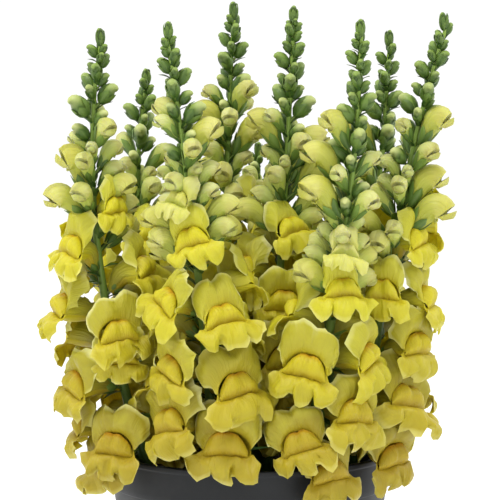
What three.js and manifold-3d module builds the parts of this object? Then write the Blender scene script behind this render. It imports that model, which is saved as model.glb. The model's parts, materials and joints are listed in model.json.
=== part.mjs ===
// A yellow bedding snapdragon in a round nursery pot: eleven flower stems fan out of the potting
// soil, each with leaves at its foot, a column of two-lipped blooms, closed pale buds above
// them and a spire of green buds at the tip. Millimetres, +Z up, the origin at the middle of
// the pot's underside, and -Y the plant's front.
import * as THREE from "three";
import { mergeVertices } from "three/addons/utils/BufferGeometryUtils.js";
import Module from "manifold-3d";

const wasm = await Module();
wasm.setup();

// ---------------------------------------------------------------- driving dimensions

const POT = { height: 124, rimRadius: 65, footRadius: 47, wall: 1.8, bandHeight: 16, bandDepth: 1.6 };
const POT_SIDES = 30;
const SOIL_SIDES = 24;
const DRAIN = { count: 6, radius: 4, ring: 34, sides: 8 };
const SOIL = { top: 113, mound: 3, gap: 0.6, holeGap: 0.35 };

const STEM = { footRadius: 2.1, tipRadius: 0.8, sides: 6, steps: 6 };
const SLEEVE = { gap: 0.35, wall: 1.5, below: 2, above: 4.6 };

// Blooms, buds and leaves stand on a stem at a height, a bearing and an incline above level. An
// upper bloom rises steeply and is a little smaller; a lower one hangs out over the rim.
const BLOOM = {
  reach: 21, // from the stem's axis to the mouth
  pitch: 3.0,
  incline: { top: 54, foot: -12 },
  tilt: { top: 12, foot: -6 }, // of the face, which looks more level than its tube
  size: { top: 0.84, foot: 1.0 },
};
const PALE_BUDS = {
  count: 7, lead: 6, pitch: 5.2, // lead is the height of the first above the blooms
  unit: 20, halfWidth: 4.6, hook: 2.5, // a bud's shape at the length unit
  incline: { foot: 28, top: 54 },
  length: { foot: 23, top: 14 },
};
const GREEN_BUDS = {
  pitch: { foot: 6.6, top: 4.4 },
  unit: 12, halfWidth: 2.7, hook: 0,
  incline: { foot: 40, top: 58 },
  length: { foot: 14, top: 6.5 },
};
const LEAVES = {
  count: 3, lead: 4, pitch: 1.4, spread: 70, incline: 38, // lead is above the soil
  length: 36, width: 9, rootWidth: 1.4, thickness: 0.9,
};
const TIP = { unit: 10, halfWidth: 2.2, hook: 0 };

const GOLDEN_ANGLE = 137.5;
const TURN_STEP = 9; // degrees that a crowded bloom, bud or leaf turns aside at each try
const TURNS = { facing: 3, spiral: 7 }; // tries each way
const LIFTS = [0, 13, -13]; // degrees that a bloom of the spiral rises or droops to find room
const SHARE = { sameNode: 0.65, otherNode: 0.98 }; // of their room that neighbours leave each other

// Each flower stem's axis is a cubic Bezier from its foot in the soil to its tip, the front
// stems first. open gives the heights between which blooms grow, turn is the bearing at which
// the spiral starts, and facing lists [height, bearing] of the blooms that turn to the light.
// A bearing is in degrees from the front, positive towards +X.
const STEMS = [
  {
    name: "c", foot: [-13, -36, 100], lower: [-18, -56, 150], upper: [-22, -66, 230], tip: [-37, -60, 320],
    open: [131, 213], turn: 132, seed: 37,
    facing: [[213, -10], [183, 28], [165, -25], [146, -49], [139, 8]],
  },
  {
    name: "f", foot: [20, -36, 100], lower: [27, -53, 145], upper: [48, -64, 235], tip: [48, -66, 321],
    open: [131, 190], turn: 170, seed: 67,
    facing: [[190, 25], [163, -20], [170, 45], [148, 32], [132, -20], [132, 50]],
  },
  {
    name: "a", foot: [-40, -24, 100], lower: [-58, -34, 155], upper: [-80, -42, 235], tip: [-65, -40, 317],
    open: [131, 221], turn: 150, seed: 11,
    facing: [[225, 50], [208, -45], [199, 80], [177, 6], [157, -66], [142, -88], [131, -20]],
  },
  {
    name: "h", foot: [42, -17, 100], lower: [57, -30, 152], upper: [60, -33, 235], tip: [89, -32, 324],
    open: [131, 210], turn: 165, seed: 83,
    facing: [[210, 75], [190, 0], [170, 40], [151, 48], [156, 0], [132, 30]],
  },
  {
    name: "e", foot: [6, -12, 100], lower: [11, -21, 150], upper: [15, -24, 230], tip: [20, -24, 327],
    open: [134, 214], turn: 150, seed: 53,
    facing: [[214, 20], [200, 80], [198, -62], [186, 0], [166, -5]],
  },
  {
    name: "d", foot: [-4, 3, 100], lower: [-8, 8, 150], upper: [-14, 8, 230], tip: [-7, 8, 329],
    open: [136, 224], turn: 120, seed: 41,
    facing: [[224, 75], [197, 8], [147, 25], [172, -10]],
  },
  {
    name: "b", foot: [-31, 16, 100], lower: [-44, 25, 150], upper: [-62, 32, 240], tip: [-47, 30, 298],
    open: [134, 206], turn: -150, seed: 23,
    facing: [[206, 20], [181, 25], [163, 8]],
  },
  {
    name: "g", foot: [38, 11, 100], lower: [48, 15, 150], upper: [61, 18, 225], tip: [65, 18, 316],
    open: [134, 200], turn: 80, seed: 71,
    facing: [[200, 80], [180, 45]],
  },
  {
    name: "i", foot: [-20, 28, 100], lower: [-28, 46, 145], upper: [-37, 60, 205], tip: [-33, 62, 262],
    open: [132, 200], turn: 150, seed: 97,
    facing: [],
  },
  {
    name: "j", foot: [2, 32, 100], lower: [3, 52, 145], upper: [5, 64, 205], tip: [4, 64, 262],
    open: [132, 200], turn: -140, seed: 103,
    facing: [],
  },
  {
    name: "k", foot: [23, 28, 100], lower: [32, 45, 145], upper: [43, 54, 200], tip: [43, 56, 252],
    open: [132, 192], turn: -145, seed: 113,
    facing: [],
  },
];

const COLOURS = {
  pot: { color: 0x2b2d2f, roughness: 0.55 },
  soil: { color: 0x33261b, roughness: 1.0 },
  green: { color: 0x4c7a2e, roughness: 0.6 },
  petal: { color: 0xe3d62b, roughness: 0.55 },
};

// ---------------------------------------------------------------- solids and frames

const RADIAN = Math.PI / 180;

// A repeatable run of numbers from 0 to 1.
function seeded(seed) {
  let state = seed;
  return () => {
    state = (state * 16807) % 2147483647;
    return state / 2147483647;
  };
}

function solidOf(geometry) {
  const bare = geometry.index ? geometry.toNonIndexed() : geometry.clone();
  bare.deleteAttribute("normal");
  bare.deleteAttribute("uv");
  const merged = mergeVertices(bare, 1e-4);
  return new wasm.Manifold(
    new wasm.Mesh({
      numProp: 3,
      vertProperties: new Float32Array(merged.attributes.position.array),
      triVerts: new Uint32Array(merged.index.array),
    }),
  );
}

function meshOf(solid, name, material) {
  const { vertProperties, triVerts } = solid.getMesh();
  const geometry = new THREE.BufferGeometry();
  geometry.setAttribute("position", new THREE.BufferAttribute(vertProperties, 3));
  geometry.setIndex(new THREE.BufferAttribute(triVerts, 1));
  geometry.computeVertexNormals();
  const mesh = new THREE.Mesh(geometry, material);
  mesh.name = name;
  return mesh;
}

const joined = (solids) => wasm.Manifold.union(solids);

// A closed body from points and triangles.
function bodyOf(points, triangles) {
  const geometry = new THREE.BufferGeometry().setFromPoints(points);
  geometry.setIndex(triangles.flat());
  return solidOf(geometry);
}

// A closed body through rings of equal size, each counter-clockwise seen from ahead. A last
// ring of one point makes a tip.
function loft(rings) {
  const points = rings.flat();
  const triangles = [];
  const sides = rings[0].length;
  for (let i = 2; i < sides; i++) triangles.push([0, i, i - 1]);
  let start = 0;
  for (let r = 1; r < rings.length; r++) {
    const next = start + sides;
    const tipped = rings[r].length === 1;
    for (let i = 0; i < sides; i++) {
      const j = (i + 1) % sides;
      if (tipped) triangles.push([start + i, start + j, next]);
      else triangles.push([start + i, start + j, next + j], [start + i, next + j, next + i]);
    }
    start = next;
  }
  const closing = rings.at(-1).length > 1 ? sides : 0;
  for (let i = 2; i < closing; i++) triangles.push([start, start + i - 1, start + i]);
  return bodyOf(points, triangles);
}

// A local frame on a stem: along points out of it at a bearing and an incline above level, side
// is level, and over is square to both.
function frameAt(origin, bearing, incline, size = 1) {
  const b = bearing * RADIAN;
  const e = incline * RADIAN;
  const level = new THREE.Vector3(Math.sin(b), -Math.cos(b), 0);
  const along = level.clone().multiplyScalar(Math.cos(e)).add(new THREE.Vector3(0, 0, Math.sin(e)));
  const side = new THREE.Vector3(Math.cos(b), Math.sin(b), 0);
  const over = level.clone().multiplyScalar(-Math.sin(e)).add(new THREE.Vector3(0, 0, Math.cos(e)));
  return { origin, along, side, over, size };
}

function place(frame, along, side, over) {
  return frame.origin
    .clone()
    .addScaledVector(frame.along, along * frame.size)
    .addScaledVector(frame.side, side * frame.size)
    .addScaledVector(frame.over, over * frame.size);
}

// Four points across a frame, counter-clockwise seen from ahead.
function squareRing(frame, along, halfWidth) {
  return [
    place(frame, along, halfWidth, 0),
    place(frame, along, 0, halfWidth),
    place(frame, along, -halfWidth, 0),
    place(frame, along, 0, -halfWidth),
  ];
}

// ---------------------------------------------------------------- stems

// The points that each stem's axis joins with straight lengths.
const axes = new Map(
  STEMS.map((stem) => {
    const corners = [stem.foot, stem.lower, stem.upper, stem.tip].map((p) => new THREE.Vector3(...p));
    return [stem.name, new THREE.CubicBezierCurve3(...corners).getPoints(STEM.steps)];
  }),
);

// The point of a stem's axis at a height.
function axisAt(stem, height) {
  const axis = axes.get(stem.name);
  const i = Math.max(1, axis.findIndex((point, k) => k > 0 && point.z >= height));
  const share = (height - axis[i - 1].z) / (axis[i].z - axis[i - 1].z);
  return axis[i - 1].clone().lerp(axis[i], share);
}

function stemRadius(stem, height) {
  const share = (height - stem.foot[2]) / (stem.tip[2] - stem.foot[2]);
  return STEM.footRadius + (STEM.tipRadius - STEM.footRadius) * share;
}

// How far along a frame, in its own units, a root lies that is a given distance from the axis.
function rootAlong(stem, frame, distance) {
  let along = distance / Math.hypot(frame.along.x, frame.along.y);
  for (let i = 0; i < 6; i++) {
    const point = frame.origin.clone().addScaledVector(frame.along, along);
    const centre = axisAt(stem, point.z);
    along *= distance / Math.hypot(point.x - centre.x, point.y - centre.y);
  }
  return along / frame.size;
}

// A tapered tube round a stem's axis up to one of its points, extended below its foot.
function stemTube(stem, to, extra, extension) {
  const [foot, ...rest] = axes.get(stem.name).slice(0, to + 1);
  const axis = [foot.clone().setZ(foot.z - extension), ...rest];
  return loft(
    axis.map((centre) => {
      const radius = stemRadius(stem, centre.z) + extra;
      return Array.from({ length: STEM.sides }, (_, k) => {
        const a = (k / STEM.sides) * 2 * Math.PI;
        return centre.clone().add(new THREE.Vector3(radius * Math.cos(a), radius * Math.sin(a), 0));
      });
    }),
  );
}

// ---------------------------------------------------------------- what stands where

// Balls that fill the room of each kind: [along, side, over, radius]. A bloom's tube has balls
// along it, and its face has balls round its mouth.
const ROOM = {
  tube: [
    [8, 0, 0, 2.8],
    [13, 0, 0, 3.8],
    [18, 0, 0, 4.8],
  ],
  face: [
    [-1, 5.5, 11.5, 5.2],
    [-1, -5.5, 11.5, 5.2],
    [-1.5, 11, 12.5, 4.8],
    [-1.5, -11, 12.5, 4.8],
    [0, 9, 4, 4],
    [0, -9, 4, 4],
    [2.5, 0, -1, 6],
    [3, 9, -7, 5],
    [3, -9, -7, 5],
    [3.5, 0, -11.5, 4.6],
  ],
  paleBud: [
    [8, 0, 0, 3.8],
    [15, 0, 0, 4.3],
  ],
  greenBud: [
    [5, 0, 0, 2.2],
    [9.5, 0, 0, 2.4],
  ],
  leaf: [
    [5, 0, 0, 2.2],
    [10, 0, 0.5, 3.4],
    [16, 0, 1, 4.2],
    [23, 0, 0.5, 4.2],
    [29, 0, -2, 3.2],
    [34, 0, -5, 2],
  ],
};
const STEM_ROOM = { radius: 3, step: 5, foot: 112 };
const POT_ROOM = 0.6; // least gap to the rim and the soil

const mix = (range, share) => range.foot + (range.top - range.foot) * share;

function ballsOf(frame, balls) {
  return balls.map(([along, side, over, radius]) => ({
    at: place(frame, along, side, over),
    radius: radius * frame.size,
  }));
}

// A bloom's two frames: root on the stem's axis, and face at its mouth.
function bloomFrames(stem, height, bearing, lift) {
  const [low, high] = stem.open;
  const share = (height - low) / (high - low);
  const size = mix(BLOOM.size, Math.max(0, 2 * share - 1));
  const root = frameAt(axisAt(stem, height), bearing, mix(BLOOM.incline, share) + lift, size);
  const face = frameAt(place(root, BLOOM.reach, 0, 0), bearing, mix(BLOOM.tilt, share), size);
  return { root, face };
}

// Whether a ball is clear of the pot: beside it, above its rim, or within it above the soil.
function clearOfPot({ at, radius }) {
  const reach = Math.hypot(at.x, at.y);
  const room = radius + POT_ROOM;
  if (reach > POT.rimRadius + room) return true;
  const within = reach < POT.rimRadius - POT.bandDepth - POT.wall - room;
  return at.z - room > (within ? SOIL.top + SOIL.mound : POT.height);
}

// Everything on the stems, in the order in which it takes its room: the blooms that face the
// light, the buds, a spiral of blooms that fills each stem, and the leaves. Each turns aside
// until it is clear of what stands there already, and one with no room is left out, as in any
// crowded plant.
function layOut() {
  const taken = [];
  for (const stem of STEMS)
    for (let height = STEM_ROOM.foot; height < stem.tip[2]; height += STEM_ROOM.step)
      taken.push({ at: axisAt(stem, height), radius: STEM_ROOM.radius, stem, node: "axis" });

  const items = [];
  const settle = (kind, node, stem, bearing, turns, lifts, framesAt) => {
    const others = taken.filter((other) => !(other.node === "axis" && other.stem === stem));
    for (let k = 0; k < (2 * turns + 1) * lifts.length; k++) {
      const step = Math.floor(k / lifts.length);
      const turned = bearing + (step % 2 ? 1 : -1) * Math.ceil(step / 2) * TURN_STEP;
      const frames = framesAt(turned, lifts[k % lifts.length]);
      const balls = frames.face
        ? [...ballsOf(frames.root, ROOM.tube), ...ballsOf(frames.face, ROOM.face)]
        : ballsOf(frames.root, ROOM[kind]);
      const crowded = others.some((other) => {
        const share = other.stem === stem && other.node === node ? SHARE.sameNode : SHARE.otherNode;
        return balls.some((ball) => ball.at.distanceTo(other.at) < (ball.radius + other.radius) * share);
      });
      if (crowded || !balls.every(clearOfPot)) continue;
      taken.push(...balls.map((ball) => ({ ...ball, stem, node })));
      items.push({ kind, stem, ...frames });
      return;
    }
  };
  const settleBloom = (stem, height, bearing, turns, lifts) =>
    settle("bloom", "yellow", stem, bearing, turns, lifts, (turned, lift) =>
      bloomFrames(stem, height, turned, lift),
    );
  const settleOne = (kind, node, stem, height, bearing, incline, size) =>
    settle(kind, node, stem, bearing, TURNS.spiral, [0], (turned) => ({
      root: frameAt(axisAt(stem, height), turned, incline, size),
    }));

  for (const stem of STEMS)
    for (const [height, bearing] of stem.facing) settleBloom(stem, height, bearing, TURNS.facing, [0]);

  for (const stem of STEMS) {
    let bearing = stem.turn;
    let height = stem.open[1] + PALE_BUDS.lead;
    for (let i = 0; i < PALE_BUDS.count; i++) {
      const share = i / (PALE_BUDS.count - 1);
      const size = mix(PALE_BUDS.length, share) / PALE_BUDS.unit;
      settleOne("paleBud", "yellow", stem, height, bearing, mix(PALE_BUDS.incline, share), size);
      bearing += GOLDEN_ANGLE;
      height += PALE_BUDS.pitch;
    }
    const foot = height;
    const top = stem.tip[2] - TIP.unit;
    while (height < top) {
      const share = (height - foot) / (top - foot);
      const size = mix(GREEN_BUDS.length, share) / GREEN_BUDS.unit;
      settleOne("greenBud", "green", stem, height, bearing, mix(GREEN_BUDS.incline, share), size);
      bearing += GOLDEN_ANGLE;
      height += mix(GREEN_BUDS.pitch, share);
    }
  }

  for (const stem of STEMS) {
    const [low, high] = stem.open;
    let bearing = stem.turn;
    for (let height = high; height >= low; height -= BLOOM.pitch) {
      settleBloom(stem, height, bearing, TURNS.spiral, LIFTS);
      bearing += GOLDEN_ANGLE;
    }
  }

  for (const stem of STEMS)
    for (let i = 0; i < LEAVES.count; i++) {
      const foot = axisAt(stem, SOIL.top);
      const outward = Math.atan2(foot.x, -foot.y) / RADIAN;
      const bearing = outward + (i - (LEAVES.count - 1) / 2) * LEAVES.spread;
      const height = SOIL.top + LEAVES.lead + i * LEAVES.pitch;
      settleOne("leaf", "green", stem, height, bearing, LEAVES.incline, 1);
    }
  return items;
}

// ---------------------------------------------------------------- blooms and buds

// Half of a bloom's outline seen from ahead, from the notch between the upper lobes round to
// the middle of the lower lip, from the mouth's middle: [side, over, along].
const NOTCH = [0, 13, 0.5];
const HALF_OUTLINE = [
  [5, 17.2, -1.5],
  [12.5, 15, -1.5],
  [14, 8, 0.5],
  [9, 1.5, 2.5],
  [13, -6, 3.5],
  [10.5, -12.5, 2],
  [4.5, -10.5, 5.5],
];
const CHIN = [0, -15.5, 2.5];
const TUBE = { sides: 4, rootRadius: 0.55, mouthAlong: -3.5, mouthWidth: 5.6, mouthHeight: 5.2 };
const HOOD = [0, 5.5, -1];
const HUMP = [4, -1, 7.5];
const BUD_ROOT = 0.5; // half width of the stalk where it leaves the stem
const BUD_BELLY = 0.58; // share of its length at which a bud is widest
const FRILL = 1.2; // most that a petal's edge strays forwards or back

// One two-lipped bloom: a tube that starts rootAt out from the stem's axis, two upper lobes,
// the swollen palate and three lower lobes, all one closed body whose petals thin to their edges.
function bloomBody(root, face, rootAt, random) {
  const left = [...HALF_OUTLINE].reverse().map(([side, over, along]) => [-side, over, along]);
  const outline = [NOTCH, ...HALF_OUTLINE, CHIN, ...left].map(([side, over, along], i) => {
    const stray = (random() - 0.5 + (i % 2 ? 0.35 : -0.35)) * FRILL;
    const spread = 0.95 + 0.1 * random();
    return place(face, along + stray, side * spread, over * spread);
  });
  const n = outline.length;
  const ring = (frame, along, halfWidth, halfHeight) =>
    Array.from({ length: TUBE.sides }, (_, i) => {
      const a = (i / TUBE.sides) * 2 * Math.PI;
      return place(frame, along, halfWidth * Math.sin(a), halfHeight * Math.cos(a));
    });
  const [side, over, along] = HUMP;
  const points = [
    ...ring(root, rootAt, TUBE.rootRadius, TUBE.rootRadius),
    ...ring(face, TUBE.mouthAlong, TUBE.mouthWidth, TUBE.mouthHeight),
    ...outline,
    place(face, HOOD[2], HOOD[0], HOOD[1]),
    place(face, along, side, over),
    place(face, along, -side, over),
  ];
  const mouth = TUBE.sides;
  const rim = 2 * TUBE.sides;
  const [hood, rightHump, leftHump] = [rim + n, rim + n + 1, rim + n + 2];
  const triangles = [];
  for (let i = 2; i < TUBE.sides; i++) triangles.push([0, i - 1, i]);
  for (let i = 0; i < TUBE.sides; i++) {
    const j = (i + 1) % TUBE.sides;
    triangles.push([i, mouth + i, mouth + j], [i, mouth + j, j]);
  }
  // The backs of the petals: each point of the outline hangs on the mouth corner nearest to it.
  const corner = (i) => Math.round((i / n) * TUBE.sides) % TUBE.sides;
  for (let i = 0; i < n; i++) {
    const j = (i + 1) % n;
    triangles.push([mouth + corner(i), rim + i, rim + j]);
    if (corner(i) !== corner(j)) triangles.push([mouth + corner(i), rim + j, mouth + corner(j)]);
  }
  // The fronts: the hood's hollow above, and the palate's two humps below.
  const fronts = [hood, rightHump, leftHump, hood].flatMap((centre) => Array(n / 4).fill(centre));
  for (let i = 0; i < n; i++) {
    const j = (i + 1) % n;
    triangles.push([rim + j, rim + i, fronts[i]]);
    if (fronts[i] !== fronts[j]) triangles.push([rim + j, fronts[i], fronts[j]]);
  }
  triangles.push([hood, leftHump, rightHump]);
  return bodyOf(points, triangles);
}

// A closed bud: a spindle whose nose hooks over.
function budBody(frame, rootAt, { unit, halfWidth, hook }) {
  return loft([
    squareRing(frame, rootAt, BUD_ROOT),
    squareRing(frame, unit * BUD_BELLY, halfWidth),
    [place(frame, unit, 0, -hook)],
  ]);
}

// A lance-shaped leaf that rises and then arches over: thick along its midrib.
function leafBody(frame, rootAt) {
  const { length, width, rootWidth, thickness } = LEAVES;
  const station = (share, half, drop) => [
    place(frame, length * share, -half, drop),
    place(frame, length * share, 0, drop - thickness),
    place(frame, length * share, half, drop),
    place(frame, length * share, 0, drop + thickness * 0.2),
  ];
  return loft([
    station(rootAt / length, rootWidth / 2, 0),
    station(0.35, width / 2, 1.5),
    station(0.7, width * 0.36, -0.5),
    [place(frame, length, 0, -6)],
  ]);
}

// ---------------------------------------------------------------- pot and soil

function ringPoints(radius, height, sides) {
  return Array.from({ length: sides }, (_, i) => {
    const a = (i / sides) * 2 * Math.PI;
    return new THREE.Vector3(radius * Math.cos(a), radius * Math.sin(a), height);
  });
}

// The pot's outer radius at a height, below its rim band.
function potRadius(height) {
  const share = height / (POT.height - POT.bandHeight);
  return POT.footRadius + (POT.rimRadius - POT.bandDepth - POT.footRadius) * share;
}

function lathe(profile, sides) {
  const geometry = new THREE.LatheGeometry(profile.map(([r, z]) => new THREE.Vector2(r, z)), sides);
  return solidOf(geometry.rotateX(Math.PI / 2));
}

function potSolid() {
  const bandFoot = POT.height - POT.bandHeight;
  const inner = POT.rimRadius - POT.bandDepth - POT.wall;
  const shell = lathe(
    [
      [0, 0],
      [POT.footRadius, 0],
      [potRadius(bandFoot), bandFoot],
      [POT.rimRadius, bandFoot],
      [POT.rimRadius, POT.height],
      [inner, POT.height],
      [potRadius(bandFoot) - POT.wall, bandFoot],
      [POT.footRadius - POT.wall, POT.wall],
      [0, POT.wall],
    ],
    POT_SIDES,
  );
  const drains = Array.from({ length: DRAIN.count }, (_, i) => {
    const a = ((i + 0.5) / DRAIN.count) * 2 * Math.PI;
    const hole = new THREE.CylinderGeometry(DRAIN.radius, DRAIN.radius, POT.wall * 4, DRAIN.sides);
    hole.rotateX(Math.PI / 2);
    hole.translate(DRAIN.ring * Math.cos(a), DRAIN.ring * Math.sin(a), POT.wall / 2);
    return solidOf(hole);
  });
  return shell.subtract(joined(drains));
}

// The potting soil, mounded towards the middle, with a plain hole for each stem.
function soilSolid() {
  const inset = POT.wall + SOIL.gap;
  const bandFoot = POT.height - POT.bandHeight;
  const wallTop = potRadius(bandFoot) - inset;
  const fill = lathe(
    [
      [0, inset],
      [potRadius(inset) - inset, inset],
      [wallTop, bandFoot],
      [wallTop, SOIL.top - 2],
      [wallTop * 0.7, SOIL.top],
      [0, SOIL.top + SOIL.mound],
    ],
    SOIL_SIDES,
  );
  const holes = STEMS.map((stem) => stemTube(stem, 1, SOIL.holeGap, SOIL.holeGap));
  return fill.subtract(joined(holes));
}

// ---------------------------------------------------------------- the plant

function material(name) {
  return new THREE.MeshStandardMaterial({ metalness: 0, ...COLOURS[name] });
}

const plant = new THREE.Group();
plant.add(meshOf(potSolid(), "pot", material("pot")));
plant.add(meshOf(soilSolid(), "soil", material("soil")));

const items = layOut();

for (const stem of STEMS) {
  const random = seeded(stem.seed);
  const own = items.filter((item) => item.stem === stem);
  const green = [stemTube(stem, STEM.steps, 0, 0)];
  const yellow = [];
  for (const { kind, root, face } of own) {
    const radius = stemRadius(stem, root.origin.z);
    const inStem = rootAlong(stem, root, radius * 0.55);
    const inSleeve = rootAlong(stem, root, radius + SLEEVE.gap + SLEEVE.wall * 0.5);
    if (kind === "bloom") yellow.push(bloomBody(root, face, inSleeve, random));
    if (kind === "paleBud") yellow.push(budBody(root, inSleeve, PALE_BUDS));
    if (kind === "greenBud") green.push(budBody(root, inStem, GREEN_BUDS));
    if (kind === "leaf") green.push(leafBody(root, inStem));
  }
  const tip = frameAt(axisAt(stem, stem.tip[2] - TIP.unit * 0.7), 0, 88);
  green.push(budBody(tip, 0, TIP));

  const [low, high] = stem.open;
  const from = low - SLEEVE.below;
  const to = high + PALE_BUDS.lead + (PALE_BUDS.count - 1) * PALE_BUDS.pitch + SLEEVE.above;
  const span = new THREE.BoxGeometry(400, 400, to - from).translate(0, 0, (from + to) / 2);
  const sleeve = stemTube(stem, STEM.steps, SLEEVE.gap + SLEEVE.wall, 0).intersect(solidOf(span));
  const bore = stemTube(stem, STEM.steps, SLEEVE.gap, 0);
  plant.add(meshOf(joined(green), `stem_${stem.name}`, material("green")));
  plant.add(meshOf(joined([sleeve, ...yellow]).subtract(bore), `blooms_${stem.name}`, material("petal")));
}

export default plant;
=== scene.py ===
"""The looks of a potted yellow snapdragon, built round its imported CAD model.

The CAD model says where every bloom, bud and leaf stands. The same rule is worked out again here,
in millimetres, and each of them is made as a fine mesh: hollow two-lipped flowers with ruffled
edges, pale hooked buds, green buds in their sepals, ribbed stems and veined leaves. The pot and
the soil get their own finer pieces.
"""

import copy
import json
import math

import bpy
import numpy as np
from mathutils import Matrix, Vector

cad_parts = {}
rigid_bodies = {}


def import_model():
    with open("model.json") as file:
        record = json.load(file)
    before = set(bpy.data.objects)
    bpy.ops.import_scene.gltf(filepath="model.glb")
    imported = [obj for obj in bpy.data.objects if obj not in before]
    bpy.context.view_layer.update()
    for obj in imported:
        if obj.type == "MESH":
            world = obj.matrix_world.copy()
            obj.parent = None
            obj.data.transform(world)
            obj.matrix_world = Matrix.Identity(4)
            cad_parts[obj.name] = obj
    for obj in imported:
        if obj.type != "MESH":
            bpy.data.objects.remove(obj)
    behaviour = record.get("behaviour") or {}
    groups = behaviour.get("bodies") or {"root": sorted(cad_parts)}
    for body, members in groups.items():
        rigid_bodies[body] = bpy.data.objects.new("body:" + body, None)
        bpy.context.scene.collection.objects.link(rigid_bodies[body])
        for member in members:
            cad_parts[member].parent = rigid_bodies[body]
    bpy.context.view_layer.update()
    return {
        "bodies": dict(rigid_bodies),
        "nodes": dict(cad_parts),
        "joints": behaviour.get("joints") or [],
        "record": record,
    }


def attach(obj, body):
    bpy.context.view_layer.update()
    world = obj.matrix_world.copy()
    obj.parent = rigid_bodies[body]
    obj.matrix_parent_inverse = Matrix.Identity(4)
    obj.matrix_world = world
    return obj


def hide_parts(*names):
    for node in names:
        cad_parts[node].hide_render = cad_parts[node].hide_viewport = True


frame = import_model()

MM = 0.001
ROUND = 6.28  # a full turn in radians, to two digits

# ---------------------------------------------------------------- driving dimensions, as in the CAD

POT = {"height": 124, "rim": 65, "foot": 47, "wall": 1.8, "band_height": 16, "band_depth": 1.6}
DRAIN = {"count": 6, "radius": 4, "ring": 34}
SOIL = {"top": 113, "mound": 3, "gap": 0.6}

STEM = {"foot_radius": 2.1, "tip_radius": 0.8, "steps": 6}
BLOOM = {"reach": 21, "pitch": 3.0, "incline": (-12, 54), "tilt": (-6, 12), "size": (1.0, 0.84)}
PALE_BUDS = {"count": 7, "lead": 6, "pitch": 5.2, "incline": (28, 54), "unit": 20, "length": (23, 14)}
GREEN_BUDS = {"pitch": (6.6, 4.4), "incline": (40, 58), "unit": 12, "length": (14, 6.5)}
LEAVES = {"count": 3, "lead": 4, "pitch": 1.4, "spread": 70, "incline": 38, "length": 36, "width": 9}
TIP = {"unit": 10}

GOLDEN_ANGLE = 137.5
TURN_STEP = 9
TURNS = {"facing": 3, "spiral": 7}
LIFTS = (0, 13, -13)
SHARE = {"same_node": 0.65, "other_node": 0.98}

# Each stem: the corners of its axis's Bezier, the heights between which it blooms, the bearing at
# which its spiral starts, a seed, and the blooms that face the light, as (height, bearing).
STEMS = {
    "c": {
        "axis": [(-13, -36, 100), (-18, -56, 150), (-22, -66, 230), (-37, -60, 320)],
        "open": (131, 213), "turn": 132, "seed": 37,
        "facing": [(213, -10), (183, 28), (165, -25), (146, -49), (139, 8)],
    },
    "f": {
        "axis": [(20, -36, 100), (27, -53, 145), (48, -64, 235), (48, -66, 321)],
        "open": (131, 190), "turn": 170, "seed": 67,
        "facing": [(190, 25), (163, -20), (170, 45), (148, 32), (132, -20), (132, 50)],
    },
    "a": {
        "axis": [(-40, -24, 100), (-58, -34, 155), (-80, -42, 235), (-65, -40, 317)],
        "open": (131, 221), "turn": 150, "seed": 11,
        "facing": [(225, 50), (208, -45), (199, 80), (177, 6), (157, -66), (142, -88), (131, -20)],
    },
    "h": {
        "axis": [(42, -17, 100), (57, -30, 152), (60, -33, 235), (89, -32, 324)],
        "open": (131, 210), "turn": 165, "seed": 83,
        "facing": [(210, 75), (190, 0), (170, 40), (151, 48), (156, 0), (132, 30)],
    },
    "e": {
        "axis": [(6, -12, 100), (11, -21, 150), (15, -24, 230), (20, -24, 327)],
        "open": (134, 214), "turn": 150, "seed": 53,
        "facing": [(214, 20), (200, 80), (198, -62), (186, 0), (166, -5)],
    },
    "d": {
        "axis": [(-4, 3, 100), (-8, 8, 150), (-14, 8, 230), (-7, 8, 329)],
        "open": (136, 224), "turn": 120, "seed": 41,
        "facing": [(224, 75), (197, 8), (147, 25), (172, -10)],
    },
    "b": {
        "axis": [(-31, 16, 100), (-44, 25, 150), (-62, 32, 240), (-47, 30, 298)],
        "open": (134, 206), "turn": -150, "seed": 23,
        "facing": [(206, 20), (181, 25), (163, 8)],
    },
    "g": {
        "axis": [(38, 11, 100), (48, 15, 150), (61, 18, 225), (65, 18, 316)],
        "open": (134, 200), "turn": 80, "seed": 71,
        "facing": [(200, 80), (180, 45)],
    },
    "i": {
        "axis": [(-20, 28, 100), (-28, 46, 145), (-37, 60, 205), (-33, 62, 262)],
        "open": (132, 200), "turn": 150, "seed": 97,
        "facing": [],
    },
    "j": {
        "axis": [(2, 32, 100), (3, 52, 145), (5, 64, 205), (4, 64, 262)],
        "open": (132, 200), "turn": -140, "seed": 103,
        "facing": [],
    },
    "k": {
        "axis": [(23, 28, 100), (32, 45, 145), (43, 54, 200), (43, 56, 252)],
        "open": (132, 192), "turn": -145, "seed": 113,
        "facing": [],
    },
}

# Balls that fill the room of each kind, as (along, side, over, radius).
ROOM = {
    "tube": [(8, 0, 0, 2.8), (13, 0, 0, 3.8), (18, 0, 0, 4.8)],
    "face": [
        (-1, 5.5, 11.5, 5.2), (-1, -5.5, 11.5, 5.2), (-1.5, 11, 12.5, 4.8), (-1.5, -11, 12.5, 4.8),
        (0, 9, 4, 4), (0, -9, 4, 4), (2.5, 0, -1, 6), (3, 9, -7, 5), (3, -9, -7, 5), (3.5, 0, -11.5, 4.6),
    ],
    "pale_bud": [(8, 0, 0, 3.8), (15, 0, 0, 4.3)],
    "green_bud": [(5, 0, 0, 2.2), (9.5, 0, 0, 2.4)],
    "leaf": [
        (5, 0, 0, 2.2), (10, 0, 0.5, 3.4), (16, 0, 1, 4.2), (23, 0, 0.5, 4.2), (29, 0, -2, 3.2),
        (34, 0, -5, 2),
    ],
}
STEM_ROOM = {"radius": 3, "step": 5, "foot": 112}
POT_ROOM = 0.6
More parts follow.
